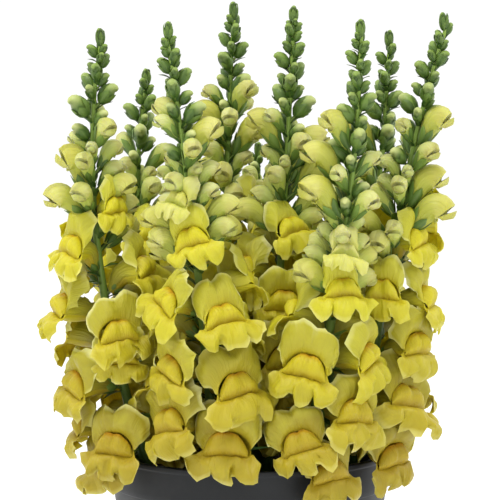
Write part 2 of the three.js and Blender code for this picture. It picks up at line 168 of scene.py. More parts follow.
# The small blooms that fill a raceme: how many at most, how far apart they are tried, and the
# bearings that are tried in turn, from the one in which the stem leans.
SMALL_BLOOMS = {
    "among": {"most": 6, "step": 4.0, "bearings": (0, 50, -50, 100, -100, 25, -25, 75, -75)},
    "above": {"most": 3, "step": 3.2, "bearings": (20, -60, 90, -20, 60, -90, 0, 130)},
}
# The pale buds that crowd among the CAD's own.
MORE_PALE_BUDS = {"count": 8, "lead": -2, "turn": 60, "size": (1.15, 0.8)}
# The blooms and pale buds that stand out from a raceme, as (kind, height, bearing, incline, size).
STRAYS = {
    "a": [("pale_bud", 240, -75, 62, 1.3), ("bloom", 222, -108, 30, 0.8), ("pale_bud", 220, -86, 34, 1.4)],
    "c": [("pale_bud", 256, 70, 58, 1.2), ("pale_bud", 268, -80, 60, 1.0)],
    "d": [("pale_bud", 256, 75, 44, 1.3), ("pale_bud", 262, -70, 56, 1.2), ("pale_bud", 274, 60, 58, 1.05)],
    "e": [("pale_bud", 240, 85, 40, 1.35), ("pale_bud", 252, 70, 50, 1.2), ("pale_bud", 260, -75, 52, 1.2)],
    "f": [("pale_bud", 232, -70, 44, 1.35), ("pale_bud", 246, -95, 50, 1.3), ("pale_bud", 262, -65, 56, 1.1)],
    "g": [("pale_bud", 256, -80, 50, 1.2)],
    "h": [("bloom", 222, 128, 30, 0.85), ("pale_bud", 224, 98, 34, 1.4), ("pale_bud", 234, 85, 48, 1.3),
          ("pale_bud", 262, 70, 50, 1.15)],
}


# ---------------------------------------------------------------- frames and axes


def mix(ends, share):
    """From the value at the foot to the value at the top."""
    return ends[0] + (ends[1] - ends[0]) * share


def smooth(value):
    """0 below 0, 1 above 1, and an even ease between."""
    t = np.clip(value, 0.0, 1.0)
    return t * t * (3 - 2 * t)


class Frame:
    """along points out of a stem at a bearing and an incline above level, side is level, and over
    is square to both."""

    def __init__(self, origin, bearing, incline, size=1.0):
        b, e = math.radians(bearing), math.radians(incline)
        level = np.array([math.sin(b), -math.cos(b), 0.0])
        self.origin = origin
        self.incline = incline
        self.size = size
        along = level * math.cos(e) + np.array([0, 0, math.sin(e)])
        side = np.array([math.cos(b), math.sin(b), 0.0])
        over = -level * math.sin(e) + np.array([0, 0, math.cos(e)])
        self.axes = np.array([along, side, over])

    def place(self, points):
        """Points given as (along, side, over)."""
        return self.origin + self.size * np.asarray(points, float) @ self.axes

    def resized(self, times):
        other = copy.copy(self)
        other.size = self.size * times
        return other


def bezier(corners, t):
    t = np.asarray(t, float)[:, None]
    p = np.asarray(corners, float)
    return (1 - t) ** 3 * p[0] + 3 * (1 - t) ** 2 * t * p[1] + 3 * (1 - t) * t**2 * p[2] + t**3 * p[3]


POLYLINES = {
    name: bezier(stem["axis"], np.arange(STEM["steps"] + 1) / STEM["steps"]) for name, stem in STEMS.items()
}


def axis_at(name, height):
    """The point of a stem's axis at a height, on the straight lengths that the CAD joins."""
    axis = POLYLINES[name]
    above = [k for k in range(1, len(axis)) if axis[k][2] >= height]
    i = above[0] if above else 1
    share = (height - axis[i - 1][2]) / (axis[i][2] - axis[i - 1][2])
    return axis[i - 1] + (axis[i] - axis[i - 1]) * share


def stem_radius(name, height):
    foot, tip = STEMS[name]["axis"][0][2], STEMS[name]["axis"][3][2]
    return STEM["foot_radius"] + (STEM["tip_radius"] - STEM["foot_radius"]) * (height - foot) / (tip - foot)


# ---------------------------------------------------------------- what stands where


def bloom_frames(name, height, bearing, lift):
    """A bloom's root on the stem's axis, its face at its mouth, and how far up the raceme it is."""
    low, high = STEMS[name]["open"]
    share = (height - low) / (high - low)
    size = mix(BLOOM["size"], max(0.0, 2 * share - 1))
    root = Frame(axis_at(name, height), bearing, mix(BLOOM["incline"], share) + lift, size)
    face = Frame(root.place([BLOOM["reach"], 0, 0]), bearing, mix(BLOOM["tilt"], share), size)
    return root, face, share


def clear_of_pot(centres, radii):
    reach = np.hypot(centres[:, 0], centres[:, 1])
    room = radii + POT_ROOM
    within = reach < POT["rim"] - POT["band_depth"] - POT["wall"] - room
    floor = np.where(within, SOIL["top"] + SOIL["mound"], POT["height"])
    return bool(np.all((reach > POT["rim"] + room) | (centres[:, 2] - room > floor)))


def outward(name):
    """The bearing in which a stem leans away from the others."""
    foot = axis_at(name, SOIL["top"])
    return math.degrees(math.atan2(foot[0], -foot[1]))


def asides(step, times):
    """0, and then so many steps to the one side and the other in turn."""
    return [0] + [step * k * sign for k in range(1, times + 1) for sign in (1, -1)]


def lay_out():
    """Everything on the stems, by the CAD's rule: in turn, each takes its room or turns aside, and
    one that finds no room is left out."""
    centres, radii, owners, nodes, items = [], [], [], [], []

    def take(points, sizes, name, node):
        centres.extend(points)
        radii.extend(sizes)
        owners.extend([name] * len(sizes))
        nodes.extend([node] * len(sizes))

    def settle(kind, node, name, bearing, turns, lifts, frames_at):
        own, what = np.array(owners) == name, np.array(nodes)
        others = ~(own & (what == "axis"))
        at, reach = np.array(centres)[others], np.array(radii)[others]
        same = (own & (what == node))[others]
        share = np.where(same, SHARE["same_node"], SHARE["other_node"])
        rooms = [np.array(ROOM[part]) for part in (("tube", "face") if kind == "bloom" else (kind,))]
        for aside in asides(TURN_STEP, turns):
            for lift in lifts:
                frames = frames_at(bearing + aside, lift)
                balls = np.vstack([f.place(room[:, :3]) for f, room in zip(frames, rooms)])
                sizes = np.concatenate([room[:, 3] * f.size for f, room in zip(frames, rooms)])
                gaps = np.linalg.norm(balls[:, None] - at[None], axis=2)
                free = not np.any(gaps < (sizes[:, None] + reach[None]) * share[None])
                if free and clear_of_pot(balls, sizes):
                    take(balls, sizes, name, node)
                    items.append({"kind": kind, "stem": name, "frames": frames[:2], "share": frames[-1]})
                    return

    def settle_bloom(name, height, bearing, turns, lifts):
        settle("bloom", "yellow", name, bearing, turns, lifts,
               lambda turned, lift: bloom_frames(name, height, turned, lift))

    def settle_one(kind, node, name, height, bearing, incline, size):
        settle(kind, node, name, bearing, TURNS["spiral"], (0,),
               lambda turned, lift: (Frame(axis_at(name, height), turned, incline, size),))

    for name, stem in STEMS.items():
        for height in np.arange(STEM_ROOM["foot"], stem["axis"][3][2], STEM_ROOM["step"]):
            take([axis_at(name, height)], [STEM_ROOM["radius"]], name, "axis")

    for name, stem in STEMS.items():
        for height, bearing in stem["facing"]:
            settle_bloom(name, height, bearing, TURNS["facing"], (0,))

    for name, stem in STEMS.items():
        bearing = stem["turn"]
        height = stem["open"][1] + PALE_BUDS["lead"]
        for i in range(PALE_BUDS["count"]):
            share = i / (PALE_BUDS["count"] - 1)
            size = mix(PALE_BUDS["length"], share) / PALE_BUDS["unit"]
            settle_one("pale_bud", "yellow", name, height, bearing, mix(PALE_BUDS["incline"], share), size)
            bearing += GOLDEN_ANGLE
            height += PALE_BUDS["pitch"]
        foot = height
        top = stem["axis"][3][2] - TIP["unit"]
        while height < top:
            share = (height - foot) / (top - foot)
            size = mix(GREEN_BUDS["length"], share) / GREEN_BUDS["unit"]
            settle_one("green_bud", "green", name, height, bearing, mix(GREEN_BUDS["incline"], share), size)
            bearing += GOLDEN_ANGLE
            height += mix(GREEN_BUDS["pitch"], share)

    for name, stem in STEMS.items():
        low, height = stem["open"]
        bearing = stem["turn"]
        while height >= low:
            settle_bloom(name, height, bearing, TURNS["spiral"], LIFTS)
            bearing += GOLDEN_ANGLE
            height -= BLOOM["pitch"]

    for name in STEMS:
        for i in range(LEAVES["count"]):
            bearing = outward(name) + (i - (LEAVES["count"] - 1) / 2) * LEAVES["spread"]
            height = SOIL["top"] + LEAVES["lead"] + i * LEAVES["pitch"]
            settle_one("leaf", "green", name, height, bearing, LEAVES["incline"], 1.0)
    return items


# ---------------------------------------------------------------- meshes


def spline_weights(count, at):
    """Rows of weights that draw a smooth curve through count control points."""
    weights = np.zeros((len(at), count))
    for row, a in enumerate(at):
        i = min(int(a), count - 2)
        t = a - i
        cubic = [
            (-(t**3) + 2 * t**2 - t) / 2,
            (3 * t**3 - 5 * t**2 + 2) / 2,
            (-3 * t**3 + 4 * t**2 + t) / 2,
            (t**3 - t**2) / 2,
        ]
        for k, w in zip(range(i - 1, i + 3), cubic):
            if k < 0:
                weights[row, 0] += 2 * w
                weights[row, 1] -= w
            elif k >= count:
                weights[row, count - 1] += 2 * w
                weights[row, count - 2] -= w
            else:
                weights[row, k] += w
    return weights


def bell(value, middle, width):
    """1 at the middle, and falling off to both sides within a width."""
    return np.exp(-(((value - middle) / width) ** 2))


def around(sides):
    """The angles at which the vertices of a ring stand."""
    return np.arange(sides) / sides * 2 * math.pi


def spread(shape, *values):
    """A row of numbers for each point of a grid. A value is a number for all the points, or an array
    that spreads over the grid."""
    return np.stack([np.broadcast_to(v, shape) for v in values], axis=-1).reshape(-1, len(values))


def grid_quads(ids):
    """The quads of a grid of vertex numbers."""
    return np.stack([ids[:-1, :-1], ids[:-1, 1:], ids[1:, 1:], ids[1:, :-1]], axis=-1).reshape(-1, 4)


def ring_ids(rows, sides):
    """The vertex numbers of rings, each of which ends with the one that it starts with."""
    ids = np.arange(rows * sides).reshape(rows, sides)
    return np.hstack([ids, ids[:, :1]])


def vertex_normals(points, quads):
    cross = np.cross(points[quads[:, 2]] - points[quads[:, 0]], points[quads[:, 3]] - points[quads[:, 1]])
    normals = np.zeros_like(points)
    for k in range(4):
        np.add.at(normals, quads[:, k], cross)
    return normals / np.maximum(np.linalg.norm(normals, axis=1, keepdims=True), 1e-9)


class Sheet:
    """The faces of an open sheet, and those of the closed shell that it becomes when thickened. The
    two sides of a pinched shell meet at its rim."""

    def __init__(self, quads, pinched=False):
        self.quads = quads
        n = int(quads.max()) + 1
        edges = {}
        for quad in quads:
            for a, b in zip(quad, np.roll(quad, -1)):
                key = (min(a, b), max(a, b))
                edges[key] = None if key in edges else (a, b)
        rim = np.array([pair for pair in edges.values() if pair])
        self.doubled = np.arange(n)
        back = np.arange(n) + n
        walls = np.stack([rim[:, 1], rim[:, 0], rim[:, 0] + n, rim[:, 1] + n], axis=-1)
        if pinched:
            self.doubled = np.setdiff1d(self.doubled, rim)
            back = np.arange(n)
            back[self.doubled] = n + np.arange(len(self.doubled))
            walls = walls[:0]
        self.swell = np.zeros((n, 1))
        self.swell[self.doubled] = 0.5
        self.shell = np.vstack([quads, back[quads[:, ::-1]], walls])

    def thicken(self, points, thickness):
        offset = vertex_normals(points, self.quads) * self.swell * np.reshape(thickness, (-1, 1))
        return np.vstack([points + offset, (points - offset)[self.doubled]])

    def both_sides(self, values):
        """The values of a sheet's points, for all the points of its shell."""
        return np.vstack([values, values[self.doubled]])


def grid_sheet(rows, columns, pinched=False):
    """The sheet of a whole grid of points."""
    return Sheet(grid_quads(np.arange(rows * columns).reshape(rows, columns)), pinched)


SHARP_ANGLE = 60  # degrees between two faces beyond which their edge isn't shaded smooth


def placed(name, data):
    """A new object of the scene."""
    made = bpy.data.objects.new(name, data)
    bpy.context.scene.collection.objects.link(made)
    return made


class Builder:
    """Gathers pieces of mesh. Each vertex has a tint, four numbers for its material to mix colours
    by, and a grain, which says where it is across and along its petal or leaf."""

    def __init__(self):
        self.points, self.faces, self.tints, self.grains, self.count = [], [], [], [], 0

    def add(self, points, faces, tints, grains=(0, 0, 0)):
        """faces is a list of arrays of quads or triangles."""
        self.points.append(points)
        self.tints.append(np.broadcast_to(tints, (len(points), 4)))
        self.grains.append(np.broadcast_to(grains, (len(points), 3)))
        self.faces.extend(f + self.count for f in faces)
        self.count += len(points)

    def add_sheet(self, frame, sheet, points, thickness, tints, grains=None):
        """A sheet's closed shell in a frame. tints and grains are those of the sheet's points."""
        shell, both = sheet.thicken(points, thickness), sheet.both_sides
        self.add(frame.place(shell), [sheet.shell], both(tints), (0, 0, 0) if grains is None else both(grains))

    def piece(self, name, material):
        points = np.vstack(self.points) * MM
        starts, sizes, loops, at = [], [], [], 0
        for faces in self.faces:
            n, k = faces.shape
            starts.append(at + np.arange(n) * k)
            sizes.append(np.full(n, k))
            loops.append(faces.ravel())
            at += n * k
        starts, sizes, loops = (np.concatenate(each).astype(np.int32) for each in (starts, sizes, loops))
        mesh = bpy.data.meshes.new(name)
        mesh.vertices.add(len(points))
        mesh.vertices.foreach_set("co", points.ravel())
        mesh.loops.add(len(loops))
        mesh.loops.foreach_set("vertex_index", loops)
        mesh.polygons.add(len(starts))
        mesh.polygons.foreach_set("loop_start", starts)
        mesh.polygons.foreach_set("loop_total", sizes)
        mesh.update(calc_edges=True)
        mesh.shade_smooth()
        mesh.set_sharp_from_angle(angle=math.radians(SHARP_ANGLE))
        tint = mesh.attributes.new("tint", "FLOAT_COLOR", "POINT")
        tint.data.foreach_set("color", np.vstack(self.tints).astype(np.float32).ravel())
        grain = mesh.attributes.new("grain", "FLOAT_VECTOR", "POINT")
        grain.data.foreach_set("vector", np.vstack(self.grains).astype(np.float32).ravel())
        mesh.materials.append(material)
        return placed(name, mesh)


def tube_points(path, radii, sides, over=(0.0, 0.0, 1.0), ribs=0.0, rib_count=4):
    """Rings along a path, with the sides of each turned from over. Returns rows x sides x 3."""
    path = np.asarray(path, float)
    tangents = np.gradient(path, axis=0)
    tangents /= np.linalg.norm(tangents, axis=1, keepdims=True)
    side = np.cross(tangents, np.asarray(over, float))
    side /= np.maximum(np.linalg.norm(side, axis=1, keepdims=True), 1e-9)
    up = np.cross(side, tangents)
    a = around(sides)
    swell = 1 + ribs * np.cos(rib_count * a)
    ring = np.cos(a)[None, :, None] * up[:, None] + np.sin(a)[None, :, None] * side[:, None]
    return path[:, None] + ring * (np.asarray(radii, float)[:, None, None] * swell[None, :, None])


def closed_tube(rings):
    """The points and faces of a closed tube whose ends are drawn to their middles."""
    rows, sides = rings.shape[:2]
    points = np.vstack([rings.reshape(-1, 3), rings[0].mean(0), rings[-1].mean(0)])
    ids = ring_ids(rows, sides)
    first = np.stack([ids[0, 1:], ids[0, :-1], np.full(sides, rows * sides)], axis=-1)
    last = np.stack([ids[-1, :-1], ids[-1, 1:], np.full(sides, rows * sides + 1)], axis=-1)
    return points, [grid_quads(ids)[:, ::-1], first[:, ::-1], last[:, ::-1]]


def with_ends(values):
    """The values of a tube's points, and then those of the middles of its ends."""
    return np.vstack([values, values[[0, -1]]])


# ---------------------------------------------------------------- the open flower

# The sheets of a flower are drawn through these control rows, as (side, over, along) from the
# mouth's middle. Each row runs from the middle line to the right-hand corner of the mouth.
CORNER = 108  # degrees from the top at which the upper lip ends and the lower lip begins
MOUTH = {"along": -4.5, "half_width": 6.2, "half_height": 5.7}
UPPER_ROWS = [
    [(0, 5.4, 0.3), (2.8, 5.3, 0.6), (5.2, 4.4, 0.9), (7.3, 2.7, 1.2), (8.8, 0.6, 1.4), (9.4, -1.8, 1.6)],
    [(0, 6.7, 2.4), (3.0, 6.8, 2.6), (5.9, 5.9, 2.5), (8.4, 4.0, 2.1), (10.1, 1.6, 1.8), (10.7, -1.1, 1.8)],
    [(0, 10.6, 4.4), (3.4, 10.9, 4.4), (7.1, 10.0, 3.8), (10.2, 7.4, 2.7), (12.0, 4.0, 1.8), (12.0, 0.4, 1.5)],
    [(0, 14.2, 4.2), (4.0, 15.0, 4.0), (8.3, 14.2, 2.9), (12.0, 10.9, 1.4), (13.7, 6.6, 0.5), (13.2, 2.0, 0.6)],
    [(0, 16.8, 1.6), (4.6, 18.2, 1.0), (9.3, 17.2, -0.1), (13.1, 13.4, -1.3), (14.7, 8.6, -1.4), (14.0, 3.2, -0.6)],
]
LOWER_ROWS = [
    [(0, -5.6, 0.4), (2.6, -5.5, 0.5), (5.0, -5.1, 0.7), (7.0, -4.4, 0.9), (8.6, -3.3, 1.2), (9.4, -1.8, 1.6)],
    [(0, -4.2, 4.0), (2.6, -4.2, 4.1), (5.2, -4.5, 3.9), (7.8, -4.8, 3.5), (9.8, -4.6, 2.9), (10.8, -3.5, 2.3)],
    [(0, -4.4, 6.2), (2.8, -4.4, 6.5), (5.6, -4.8, 6.2), (8.4, -5.4, 5.3), (10.7, -5.4, 4.1), (12.2, -4.3, 2.9)],
    [(0, -7.4, 8.3), (3.0, -7.4, 8.2), (5.4, -7.1, 7.7), (8.8, -7.9, 7.7), (12.0, -7.3, 5.9), (14.0, -4.9, 3.6)],
    [(0, -11.8, 8.9), (3.6, -11.5, 8.2), (5.2, -9.3, 7.7), (9.1, -11.8, 8.4), (13.3, -10.2, 6.3), (15.6, -5.8, 4.0)],
    [(0, -16.0, 6.0), (4.1, -15.0, 5.6), (5.2, -11.2, 7.2), (9.5, -15.7, 5.8), (14.2, -13.2, 4.6), (16.3, -7.6, 3.9)],
]
PALATE_ROWS = [
    [(0, 2.6, -0.5), (2.5, 2.5, -0.4), (4.8, 1.4, 0.0), (6.8, -0.6, 0.6), (8.2, -3.0, 1.2)],
    [(0, 5.2, 1.4), (2.7, 5.7, 1.8), (5.2, 4.3, 1.9), (7.2, 1.6, 1.9), (8.7, -1.9, 2.0)],
    [(0, 4.5, 3.5), (2.8, 5.2, 4.6), (5.4, 3.7, 4.2), (7.5, 0.9, 3.3), (9.0, -2.4, 2.7)],
    [(0, 2.4, 5.1), (2.9, 3.0, 7.0), (5.7, 1.7, 6.2), (7.9, -0.6, 4.7), (9.4, -3.0, 3.3)],
    [(0, 0.0, 5.6), (3.0, 0.3, 7.3), (5.8, -0.6, 6.5), (8.1, -2.0, 5.0), (9.7, -3.6, 3.5)],
    [(0, -2.2, 5.2), (2.9, -2.1, 5.9), (5.7, -2.7, 5.4), (8.0, -3.4, 4.4), (9.6, -4.3, 3.2)],
    [(0, -4.9, 3.4), (2.8, -4.9, 3.6), (5.5, -5.1, 3.3), (7.6, -5.1, 2.8), (9.0, -5.1, 2.3)],
]
TUBE_ROWS = 4  # control rings from the calyx to the mouth
TUBE = {"start": 5.0, "width": (0.31, 0.56, 0.84, 1.0), "bow": 0.35}
FINE = {"tube": 4, "lip": 3, "upper": 18, "lower": 22, "palate_rows": 8, "palate": 12}
PLAINER = {"tube": 3, "lip": 2, "upper": 14, "lower": 18, "palate_rows": 6, "palate": 10}
PETAL_THICKNESS = {"tube": 0.5, "edge": 0.22}
PALATE = {"thickness": 0.5, "point": 0.18, "ridges": 17, "ridge_height": 0.14}
# How far a flower's parts wander from the pattern, in mm, and how many crumples a lip has and
# corners its edge.
WAYWARD = {
    "lean": (1.0, 0.9, 1.7), "point": 0.4, "wave": 1.7, "pleat": 0.6, "crumple": 0.42, "corner": 0.75,
    "fringe": 0.4, "turn": (10, 9, 11), "size": 0.08, "crumples": 3, "corners": 13,
}


def mirrored(row):
    """A control row from the left-hand corner to the right-hand one."""
    left = [(-side, over, along) for side, over, along in row[:0:-1]]
    return left + list(row)


def lip_samples(rows, fine):
    """Where the fine rows of a sheet lie among its control rows."""
    tube = np.arange(fine["tube"]) / fine["tube"] * (TUBE_ROWS - 1)
    lip = TUBE_ROWS - 1 + np.arange((rows - TUBE_ROWS) * fine["lip"] + 1) / fine["lip"]
    return np.concatenate([tube, lip])


class Drawn:
    """A grid drawn through control rows: where its fine rows and columns lie, and their weights."""

    def __init__(self, rows, columns, at, fine_columns):
        self.at = at
        self.across = np.arange(fine_columns + 1) / fine_columns * (columns - 1)
        self.middle = 2 * self.across / (columns - 1) - 1
        self.down_weights = spline_weights(rows, at)
        self.over_weights = spline_weights(columns, self.across)
        self.shape = (len(at), fine_columns + 1)

    def grid(self, controls):
        return np.einsum("ri,cj,ijk->rck", self.down_weights, self.over_weights, controls)

    def grains(self, scale, number):
        """(across, down, number) at each point."""
        return spread(self.shape, self.across * scale, self.at[:, None], number)


class FlowerPattern:
    """The parts of the flower's mesh that all flowers share."""

    def __init__(self, fine):
        self.columns = 2 * len(UPPER_ROWS[0]) - 1
        upper_count, lower_count = TUBE_ROWS + len(UPPER_ROWS), TUBE_ROWS + len(LOWER_ROWS)
        self.upper = Drawn(upper_count, self.columns, lip_samples(upper_count, fine), fine["upper"])
        self.lower = Drawn(lower_count, self.columns, lip_samples(lower_count, fine), fine["lower"])

        # The two sheets are one from the calyx to the corners of the mouth.
        upper = np.arange(np.prod(self.upper.shape)).reshape(self.upper.shape)
        lower = upper.max() + 1 + np.arange(np.prod(self.lower.shape)).reshape(self.lower.shape)
        shared = int(np.sum(self.upper.at <= TUBE_ROWS + 1e-9))
        lower[:shared, 0] = upper[:shared, -1]
        lower[:shared, -1] = upper[:shared, 0]
        quads = np.vstack([grid_quads(upper), grid_quads(lower)])
        self.used, flat = np.unique(quads, return_inverse=True)
        self.petals = Sheet(flat.reshape(-1, 4))

        down = np.arange(fine["palate_rows"] + 1) / fine["palate_rows"] * (len(PALATE_ROWS) - 1)
        self.dome = Drawn(len(PALATE_ROWS), 2 * len(PALATE_ROWS[0]) - 1, down, fine["palate"])
        self.palate = grid_sheet(*self.dome.shape)


def tube_controls(bend, angles, width):
    """Control rings from the calyx to the mouth, as (side, over, along), for a flower whose root
    comes in bend degrees below its face."""
    b = math.radians(bend)
    outward = np.array([math.cos(b), math.sin(b)])
    start = -outward * (BLOOM["reach"] - TUBE["start"])
    end = np.array([MOUTH["along"], 0.0])
    handle = np.linalg.norm(end - start) * TUBE["bow"]
    path = bezier([start, start + outward * handle, end - (handle, 0.0), end], np.linspace(0, 1, TUBE_ROWS))
    tangents = np.gradient(path, axis=0)
    tangents[0], tangents[-1] = outward, (1.0, 0.0)
    tangents /= np.linalg.norm(tangents, axis=1, keepdims=True)
    a = np.radians(angles)
    rows = []
    for centre, tangent, share in zip(path, tangents, TUBE["width"]):
        rise = MOUTH["half_height"] * share * np.cos(a)
        rows.append(np.stack([
            MOUTH["half_width"] * share * width * np.sin(a),
            centre[1] + rise * tangent[0],
            centre[0] - rise * tangent[1],
        ], axis=-1))
    return rows


def turned(points, turn, share=1.0):
    """Points as (side, over, along), turned about the mouth's middle by a share of the angles of a
    roll, a nod and a turn aside."""
    roll, nod, aside = (math.radians(a * share) for a in turn)
    about_along = np.array([[math.cos(roll), -math.sin(roll), 0], [math.sin(roll), math.cos(roll), 0], [0, 0, 1]])
    about_side = np.array([[1, 0, 0], [0, math.cos(nod), -math.sin(nod)], [0, math.sin(nod), math.cos(nod)]])
    about_over = np.array([[math.cos(aside), 0, math.sin(aside)], [0, 1, 0], [-math.sin(aside), 0, math.cos(aside)]])
    return points @ (about_over @ about_side @ about_along).T


def lip_controls(bend, angles, width, rows, hood, turn, random):
    """One lip's control grid, with the half of the tube that it grows from. Each of its lobes leans
    a little in its own way. hood narrows the far rows of the lip."""
    lip = np.array([mirrored(r) for r in rows], float)
    if angles[0] > 0:
        lip = lip[:, ::-1]
    free = np.linspace(0, 1, len(lip))[:, None]
    lip[:, :, 0] *= width * (1 + (hood - 1) * smooth(free * 1.6))
    half = lip.shape[1] // 2
    for side in (slice(0, half), slice(half + 1, None)):
        lip[:, side] += random.normal(0, WAYWARD["lean"]) * free[:, :, None] ** 1.3
    lip[2:] += random.normal(0, WAYWARD["point"], lip[2:].shape)
    lip = np.concatenate([turned(lip[:1], turn, 0.5), turned(lip[1:], turn)])
    return np.concatenate([tube_controls(bend, angles, width), lip])


def ruffled(drawn, grid, random, waves, crumple, fringe):
    """A lip with its pleats, its wavy margin, its crumples and the fringe of its edge."""
    free = smooth((drawn.at - TUBE_ROWS) / (drawn.at[-1] - TUBE_ROWS))[:, None]
    across, down = drawn.across[None], drawn.at[:, None]
    phase = random.uniform(0, ROUND)
    wave = 0.5 * np.sin(across * waves + phase) + 0.5 * np.sin(across * waves * 1.7 + 2.3 * phase)
    pleat = 1 - 2 * np.abs(np.sin(across * 1.1 * waves + 0.85 * phase + 0.25 * down)) ** 0.7
    grid[:, :, 2] += WAYWARD["wave"] * wave * free**3 + WAYWARD["pleat"] * pleat * free
    for _ in range(WAYWARD["crumples"]):
        slant = across * random.uniform(0.5, 1.7) + down * random.uniform(-2.2, 2.2)
        grid[:, :, 2] += WAYWARD["crumple"] * crumple * np.sin(slant + random.uniform(0, ROUND)) * free
    outwards = grid[-1] - grid[-2]
    outwards /= np.linalg.norm(outwards, axis=1, keepdims=True)
    places = np.linspace(0, drawn.across[-1], WAYWARD["corners"])
    corners = random.normal(0, WAYWARD["corner"] * fringe, WAYWARD["corners"])
    corners = np.interp(drawn.across, places, corners)
    for row, share in ((-1, 1.0), (-2, 0.6), (-3, 0.25)):
        grid[row] += outwards * (corners * share)[:, None]
    grid[-1] += outwards * random.normal(0, WAYWARD["fringe"] * fringe, (len(drawn.across), 1))
    return grid


def petal_looks(pattern, share, number):
    """The tints and grains of a flower's petals. The tints are how near the edge a point is, how
    golden it is, how deep in the flower, which darkens the tube and throat with painted shade and
    the tube's own olive tone and darkens the crease below the palate with painted shade, and the
    flower's age."""
    tints, grains = [], []
    for drawn, reach, gold, apart in ((pattern.upper, 2.6, 0.0, 0), (pattern.lower, 2.8, 1.0, 20)):
        lip = drawn.at - TUBE_ROWS
        side = smooth((np.abs(drawn.middle) - 0.84) / 0.16)[None] * smooth(lip)[:, None]
        edge = np.maximum(smooth((drawn.at - drawn.at[-1] + 0.9) / 0.9)[:, None], 0.7 * side)
        # painted shade in the crease where the palate meets the lower lip
        painted_crease_shade = 0.5 * gold * bell(lip, 1.7, 0.55)
        # painted shade deep in the tube and throat, with the tube's own olive tone
        foot_tone_and_painted_shade = np.maximum(1 - smooth((drawn.at - 1.4) / reach), painted_crease_shade)
        near = (1 - gold) * 0.45 * bell(lip, 0.4, 1.1)
        golden = near + gold * (0.9 - 0.4 * smooth((lip - 1.4) / 2.6))
        tints.append(spread(drawn.shape, edge, golden[:, None], foot_tone_and_painted_shade[:, None], share))
        grains.append(drawn.grains(1.0, number + apart))
    return np.vstack(tints)[pattern.used], np.vstack(grains)[pattern.used]


def add_flower(builder, pattern, root, face, share, random):
    """One open flower: its tube and two lips in one ruffled sheet, and its palate."""
    bend = root.incline - face.incline
    width = random.uniform(0.92, 1.03) - 0.05 * share
    face = face.resized(1 + random.uniform(-WAYWARD["size"], WAYWARD["size"]))
    hood = 1.0 - 0.3 * smooth(share * 1.5 - 0.4)
    number = random.uniform(0, 100)
    turn = random.normal(0, WAYWARD["turn"])
    above, below = np.linspace(-CORNER, CORNER, pattern.columns), np.linspace(CORNER, 360 - CORNER, pattern.columns)
    upper = lip_controls(bend, above, width, UPPER_ROWS, hood, turn, random)
    lower = lip_controls(bend, below, width, LOWER_ROWS, 1.0, turn, random)
    rolled = random.uniform(-0.4, 0.9) + 0.8 * share
    upper[-1, :, 2] -= 1.3 * rolled
    upper[-2, :, 2] -= 0.4 * rolled
    notch = random.uniform(0.6, 2.8) * (1.1 - share)
    middle = upper.shape[1] // 2
    upper[-1, middle, 1:] -= notch, 0.6 * notch
    upper[-2, middle, 1:] -= 0.3 * notch, 0.6 * notch
    upper[-3, middle, 2] -= 0.3 * notch
    lower[-1, :, 2] += random.uniform(-1.4, 1.4)
    crumple = random.uniform(0.6, 1.4) + 0.8 * (1 - share)
    up = ruffled(pattern.upper, pattern.upper.grid(upper), random, 2.1, crumple, 0.55)
    low = ruffled(pattern.lower, pattern.lower.grid(lower), random, 2.4, crumple, 1.0)

    points = np.vstack([up.reshape(-1, 3), low.reshape(-1, 3)])[pattern.used][:, [2, 0, 1]]
    tints, grains = petal_looks(pattern, share, number)
    thickness = mix((PETAL_THICKNESS["tube"], PETAL_THICKNESS["edge"]), tints[:, 0])
    builder.add_sheet(face, pattern.petals, points, thickness, tints, grains)
    add_palate(builder, pattern, face, share, width, turn, number, random)


def add_palate(builder, pattern, face, share, width, turn, number, random):
    """The pouched floor of the mouth, which closes it."""
    controls = np.array([mirrored(r) for r in PALATE_ROWS], float)
    controls[:, :, 0] *= width
    controls[2:, :, 1:] *= random.uniform(0.9, 1.08)
    controls = turned(controls + random.normal(0, PALATE["point"], controls.shape), turn)
    dome = pattern.dome
    down, across = dome.at[:, None], dome.middle[None]
    grid = dome.grid(controls)
    ridges = np.cos(across * PALATE["ridges"]) * smooth(down / 2) * smooth((6 - down) / 2)
    grid[:, :, 2] += PALATE["ridge_height"] * ridges
    crest = bell(down, 1.5, 0.7) * bell(across, 0.0, 0.35 + 0.45 * (1 - share))
    # painted shade on the palate's lower part, where it folds into the lower lip
    painted_crease_shade = smooth((down - 3.9) / 1.5) * (1 - 0.4 * across**2)
    points, tints = grid.reshape(-1, 3)[:, [2, 0, 1]], spread(dome.shape, crest, 1.0, painted_crease_shade, share)
    grains = dome.grains(1.4, number + 40)
    builder.add_sheet(face, pattern.palate, points, PALATE["thickness"], tints, grains)


# ---------------------------------------------------------------- buds, calyces and stalks

# A bud's middle line as (along, over), its half widths there at its unit length, and its mesh.
PALE_SHAPE = {
    "path": [(4.4, 0), (7.2, 0.2), (10.2, 0.8), (13.2, 1.5), (16.0, 1.4), (18.0, 0.0), (18.6, -2.3), (17.9, -4.3)],
    "widths": [1.2, 2.2, 3.0, 3.7, 4.4, 4.4, 3.6, 1.7],
    "rows": 19, "sides": 13,
}
GREEN_SHAPE = {
    "path": [(3.0, 0), (4.6, 0.1), (6.4, 0.3), (8.4, 0.4), (10.3, 0.2), (11.6, -0.7), (11.9, -1.9)],
    "widths": [0.6, 1.9, 2.6, 2.75, 2.5, 1.8, 0.6],
    "rows": 11, "sides": 10,
}
CALYX_SHAPE = {"path": [(4.2, 0), (6, 0), (8, 0.2), (11, 0.5)], "widths": [1.3, 2.4, 3.0, 3.5]}
SEPALS = {"count": 5, "grid": (5, 5), "path_rows": 40, "thickness": 0.35, "clear": 0.22, "least_radius": 0.75}
STALK = {"rings": 3, "sides": 7}
BLADE_GRID = (9, 5)
TIP_BUD = {"incline": 86, "size": 0.88, "slender": 0.72, "paleness": 0.05}
